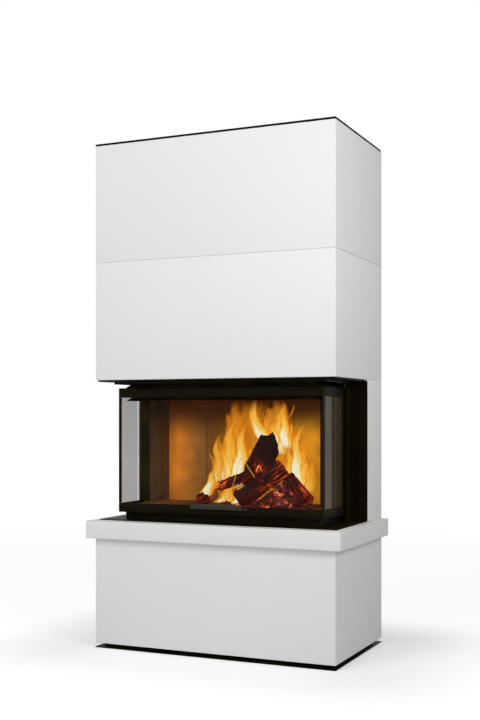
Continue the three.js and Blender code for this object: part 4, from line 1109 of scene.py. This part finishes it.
# Each flame: foot, tip, width, sideways bow, and which veil it wears.
FLAMES = (
    ((0.15, 0.1, 0.6), (0.14, 0.1, 0.98), 0.56, 0.0, 4),
    ((0.04, 0.085, 0.62), (0.07, 0.085, 1.04), 0.4, 0.02, 4),
    ((-0.085, 0.04, 0.64), (-0.104, 0.04, 0.905), 0.13, -0.02, 0),
    ((-0.06, 0.025, 0.65), (-0.09, 0.025, 0.86), 0.12, 0.015, 1),
    ((-0.05, 0.06, 0.65), (-0.042, 0.06, 1.04), 0.21, 0.01, 2),
    ((-0.03, 0.07, 0.68), (-0.005, 0.07, 1.04), 0.24, -0.015, 3),
    ((-0.025, 0.03, 0.65), (-0.01, 0.03, 0.985), 0.17, -0.015, 0),
    ((-0.01, 0.015, 0.66), (0.034, 0.015, 0.95), 0.15, 0.01, 1),
    ((0.06, 0.075, 0.7), (0.05, 0.075, 1.04), 0.26, 0.02, 3),
    ((0.185, 0.03, 0.8), (0.062, 0.03, 1.04), 0.16, -0.035, 1),
    ((0.15, 0.05, 0.8), (0.11, 0.05, 1.04), 0.24, 0.01, 2),
    ((0.205, 0.04, 0.82), (0.175, 0.04, 1.04), 0.2, -0.02, 0),
    ((0.21, 0.01, 0.83), (0.212, 0.01, 1.0), 0.11, 0.015, 1),
    ((0.24, 0.06, 0.7), (0.225, 0.06, 0.96), 0.19, 0.02, 3),
    ((0.28, -0.015, 0.66), (0.3, -0.015, 0.945), 0.12, -0.012, 1),
    ((0.285, -0.005, 0.65), (0.29, -0.005, 0.87), 0.12, 0.01, 0),
    ((0.265, -0.025, 0.67), (0.246, -0.025, 0.87), 0.09, -0.01, 0),
    ((0.32, -0.02, 0.65), (0.33, -0.02, 0.8), 0.09, 0.01, 2),
    ((-0.12, -0.075, 0.625), (-0.056, -0.075, 0.755), 0.1, 0.01, 1),
    ((-0.03, -0.085, 0.604), (0.016, -0.085, 0.69), 0.15, 0.01, 0),
    ((0.035, -0.105, 0.602), (0.08, -0.105, 0.69), 0.09, 0.01, 1),
)

# Thin licks of flame, each a row of places that it runs through, and its width.
LICKS = (
    (((0.204, -0.08, 0.92), (0.222, -0.08, 0.87), (0.241, -0.08, 0.824), (0.229, -0.08, 0.796),
      (0.2, -0.08, 0.778)), 0.02),
    (((0.0, -0.085, 0.65), (0.02, -0.085, 0.7), (0.034, -0.085, 0.755), (0.052, -0.085, 0.79),
      (0.085, -0.085, 0.75), (0.112, -0.085, 0.705), (0.1, -0.085, 0.66), (0.06, -0.085, 0.64)), 0.012),
    (((-0.135, -0.088, 0.64), (-0.08, -0.088, 0.69), (-0.04, -0.088, 0.745)), 0.012),
)


def flame_sheet(name, foot, tip, width, bow):
    """A sheet from foot to tip that bows sideways and sways more the higher it is."""
    foot, tip = Vector(foot), Vector(tip)
    sheet = upright_sheet(name, 12, 32)
    for corner in sheet.data.vertices:
        across, up = corner.co.x, corner.co.z + 0.5
        sway = noise.noise(Vector((foot.x * 31, foot.y * 17, up * 2.4))) * width * 0.35 * up
        corner.co = foot.lerp(tip, up)
        corner.co.x += across * width * 0.95 + bow * math.sin(math.pi * up) + sway
        corner.co.y += across * width * 0.35 + min(0.03, width * 0.2) * math.cos(across * math.pi) * -1
    return sheet


def lick_ribbon(name, places, width):
    """A narrow ribbon that runs smoothly through its places and thins towards both ends."""
    ribbon = upright_sheet(name, 4, 40)
    places = [Vector(place) for place in places]
    places = [places[0]] + places + [places[-1]]
    for corner in ribbon.data.vertices:
        across, up = corner.co.x, corner.co.z + 0.5
        scaled = min(up, 0.9999) * (len(places) - 3)
        i = int(scaled)
        t = scaled - i
        a, b, c, d = places[i:i + 4]
        point = 0.5 * (2 * b + (c - a) * t + (2 * a - 5 * b + 4 * c - d) * t * t + (3 * b - a - 3 * c + d) * t ** 3)
        along = (c - b).normalized()
        side = along.cross(Vector((0, 1, 0))).normalized()
        corner.co = point + side * across * width * (0.25 + 0.75 * math.sin(math.pi * up))
    return ribbon


class STOVE_OT_flames(bpy.types.Operator):
    """Raises the flames from the logs"""

    bl_idname = "stove.flames"
    bl_label = "Flames"

    def execute(self, context):
        settings = context.scene.stove_fire
        veils = [flame_veil(settings, *veil) for veil in VEILS]
        for i, (foot, tip, width, bow, veil) in enumerate(FLAMES):
            sheet = flame_sheet(f"flame_{i + 1}", foot, tip, width, bow)
            dress(sheet, veils[veil], "stove", smooth=60)
        lick = flame_veil(settings, *LICK_VEIL)
        for i, (places, width) in enumerate(LICKS):
            ribbon = lick_ribbon(f"lick_{i + 1}", places, width)
            dress(ribbon, lick, "stove", smooth=60)
        return {"FINISHED"}


# --- stage


def lamp(name, place, target, size, power, spread=math.pi):
    data = bpy.data.lights.new(name, "AREA")
    data.shape = "DISK"
    data.size = size
    data.energy = power
    data.spread = spread
    holder = bpy.data.objects.new(name, data)
    bpy.context.scene.collection.objects.link(holder)
    holder.location = place
    holder.rotation_euler = (Vector(target) - Vector(place)).to_track_quat("-Z", "Y").to_euler()
    return holder


class STOVE_OT_stage(bpy.types.Operator):
    """Sets the camera, the lamps, the floor and the white surroundings"""

    bl_idname = "stove.stage"
    bl_label = "Stage"

    def execute(self, context):
        settings = context.scene.stove_stage
        scene = context.scene
        scene.view_settings.view_transform = "Standard"

        camera = bpy.data.objects.new("camera", bpy.data.cameras.new("camera"))
        scene.collection.objects.link(camera)
        camera.location = settings.camera_place
        camera.rotation_euler = (math.pi / 2, 0, settings.camera_turn)
        camera.data.lens = settings.lens
        camera.data.sensor_width = 36
        camera.data.shift_y = settings.rise
        camera.data.clip_end = 100
        scene.camera = camera

        lamp("front_lamp", (-1.6, -4.6, 3.4), (0, 0, 1.2), 3.2, settings.key_power)
        lamp("side_lamp", (3.2, -2.2, 2.7), (0.56, -0.25, 1.7), 1.2, settings.side_power, math.radians(75))
        lamp("top_lamp", (0, -1, 5), (0, 0, 0), 2.6, settings.top_power)
        lamp("low_lamp", (-0.2, -5, 1.0), (0.1, 0, 0.6), 2.6, settings.low_power)

        world = bpy.data.worlds.new("white_room")
        scene.world = world
        world.use_nodes = True
        tree = world.node_tree
        tree.nodes.clear()
        path = tree.nodes.new("ShaderNodeLightPath")
        sight = path.outputs["Is Camera Ray"]
        for kind in ("Is Glossy Ray", "Is Transmission Ray"):
            either = tree.nodes.new("ShaderNodeMath")
            either.operation = "MAXIMUM"
            tree.links.new(sight, either.inputs[0])
            tree.links.new(path.outputs[kind], either.inputs[1])
            sight = either.outputs[0]
        both = tree.nodes.new("ShaderNodeMixShader")
        tree.links.new(sight, both.inputs[0])
        for i, strength in enumerate((settings.room, 1.0)):
            light = tree.nodes.new("ShaderNodeBackground")
            light.inputs["Color"].default_value = (1, 1, 1, 1)
            light.inputs["Strength"].default_value = strength
            tree.links.new(light.outputs[0], both.inputs[i + 1])
        out = tree.nodes.new("ShaderNodeOutputWorld")
        tree.links.new(both.outputs[0], out.inputs[0])

        floor = fresh(bpy.ops.mesh.primitive_plane_add, "floor", size=FLOOR_SIZE, location=(0, 0, -0.0005))
        settle(floor)
        finish = Finish("floor_white", base_color=FLOOR_TONE, roughness=0.9, specular_ior_level=0)
        x, y, _ = finish.axes()
        grain = finish.noise(60, detail=3)
        aside = (abs(x) - cad_high.x).larger(0)
        before = (abs(y) - cad_high.y).larger(0)
        away = (aside ** 2 + before ** 2) ** 0.5
        rays = finish.node("ShaderNodeLightPath").outputs
        seen, mirrored, through = (
            Value(finish, rays[kind]) for kind in ("Is Camera Ray", "Is Glossy Ray", "Is Transmission Ray")
        )
        looked_at = seen.larger(mirrored).larger(through)
        apart = away.between(0.0, 0.6)
        lift = looked_at * (0.35 + 0.5 * apart + 0.1 * away.between(1, 8))
        finish.tone(looked_at * apart, FLOOR_TONE, FLOOR_TONE_FAR)
        finish.set(emission_color=finish.mix(lift, (0, 0, 0), (1, 1, 1)), emission_strength=1.0)
        finish.bump(grain, 0.0001)
        floor.data.materials.append(finish.material)
        return {"FINISHED"}


# --- sidebar


OPERATORS = (
    STOVE_OT_stage,
    STOVE_OT_panels,
    STOVE_OT_steelwork,
    STOVE_OT_machinery,
    STOVE_OT_glazing,
    STOVE_OT_lining,
    STOVE_OT_chains,
    STOVE_OT_screws,
    STOVE_OT_firewood,
    STOVE_OT_embers,
    STOVE_OT_flames,
)


class STOVE_PT_sidebar(bpy.types.Panel):
    """Lists the stove's pieces and their settings"""

    bl_idname = "STOVE_PT_sidebar"
    bl_label = "Stove"
    bl_space_type = "VIEW_3D"
    bl_region_type = "UI"
    bl_category = "Stove"

    def draw(self, context):
        for operator in OPERATORS:
            self.layout.operator(operator.bl_idname)
        for group in ("stove_stage", "stove_panels", "stove_metal", "stove_fire"):
            settings = getattr(context.scene, group)
            box = self.layout.box()
            for key in settings.__annotations__:
                box.prop(settings, key)


GROUPS = {
    "stove_stage": StoveStageSettings,
    "stove_panels": StovePanelSettings,
    "stove_metal": StoveMetalSettings,
    "stove_fire": StoveFireSettings,
}


def register():
    for key, group in GROUPS.items():
        bpy.utils.register_class(group)
        setattr(bpy.types.Scene, key, bpy.props.PointerProperty(type=group))
    for operator in OPERATORS:
        bpy.utils.register_class(operator)
    bpy.utils.register_class(STOVE_PT_sidebar)


def unregister():
    bpy.utils.unregister_class(STOVE_PT_sidebar)
    for operator in reversed(OPERATORS):
        bpy.utils.unregister_class(operator)
    for key, group in reversed(GROUPS.items()):
        delattr(bpy.types.Scene, key)
        bpy.utils.unregister_class(group)


def main():
    register()
    for operator in OPERATORS:
        area, action = operator.bl_idname.split(".")
        getattr(getattr(bpy.ops, area), action)()


if __name__ == "__main__":
    main()
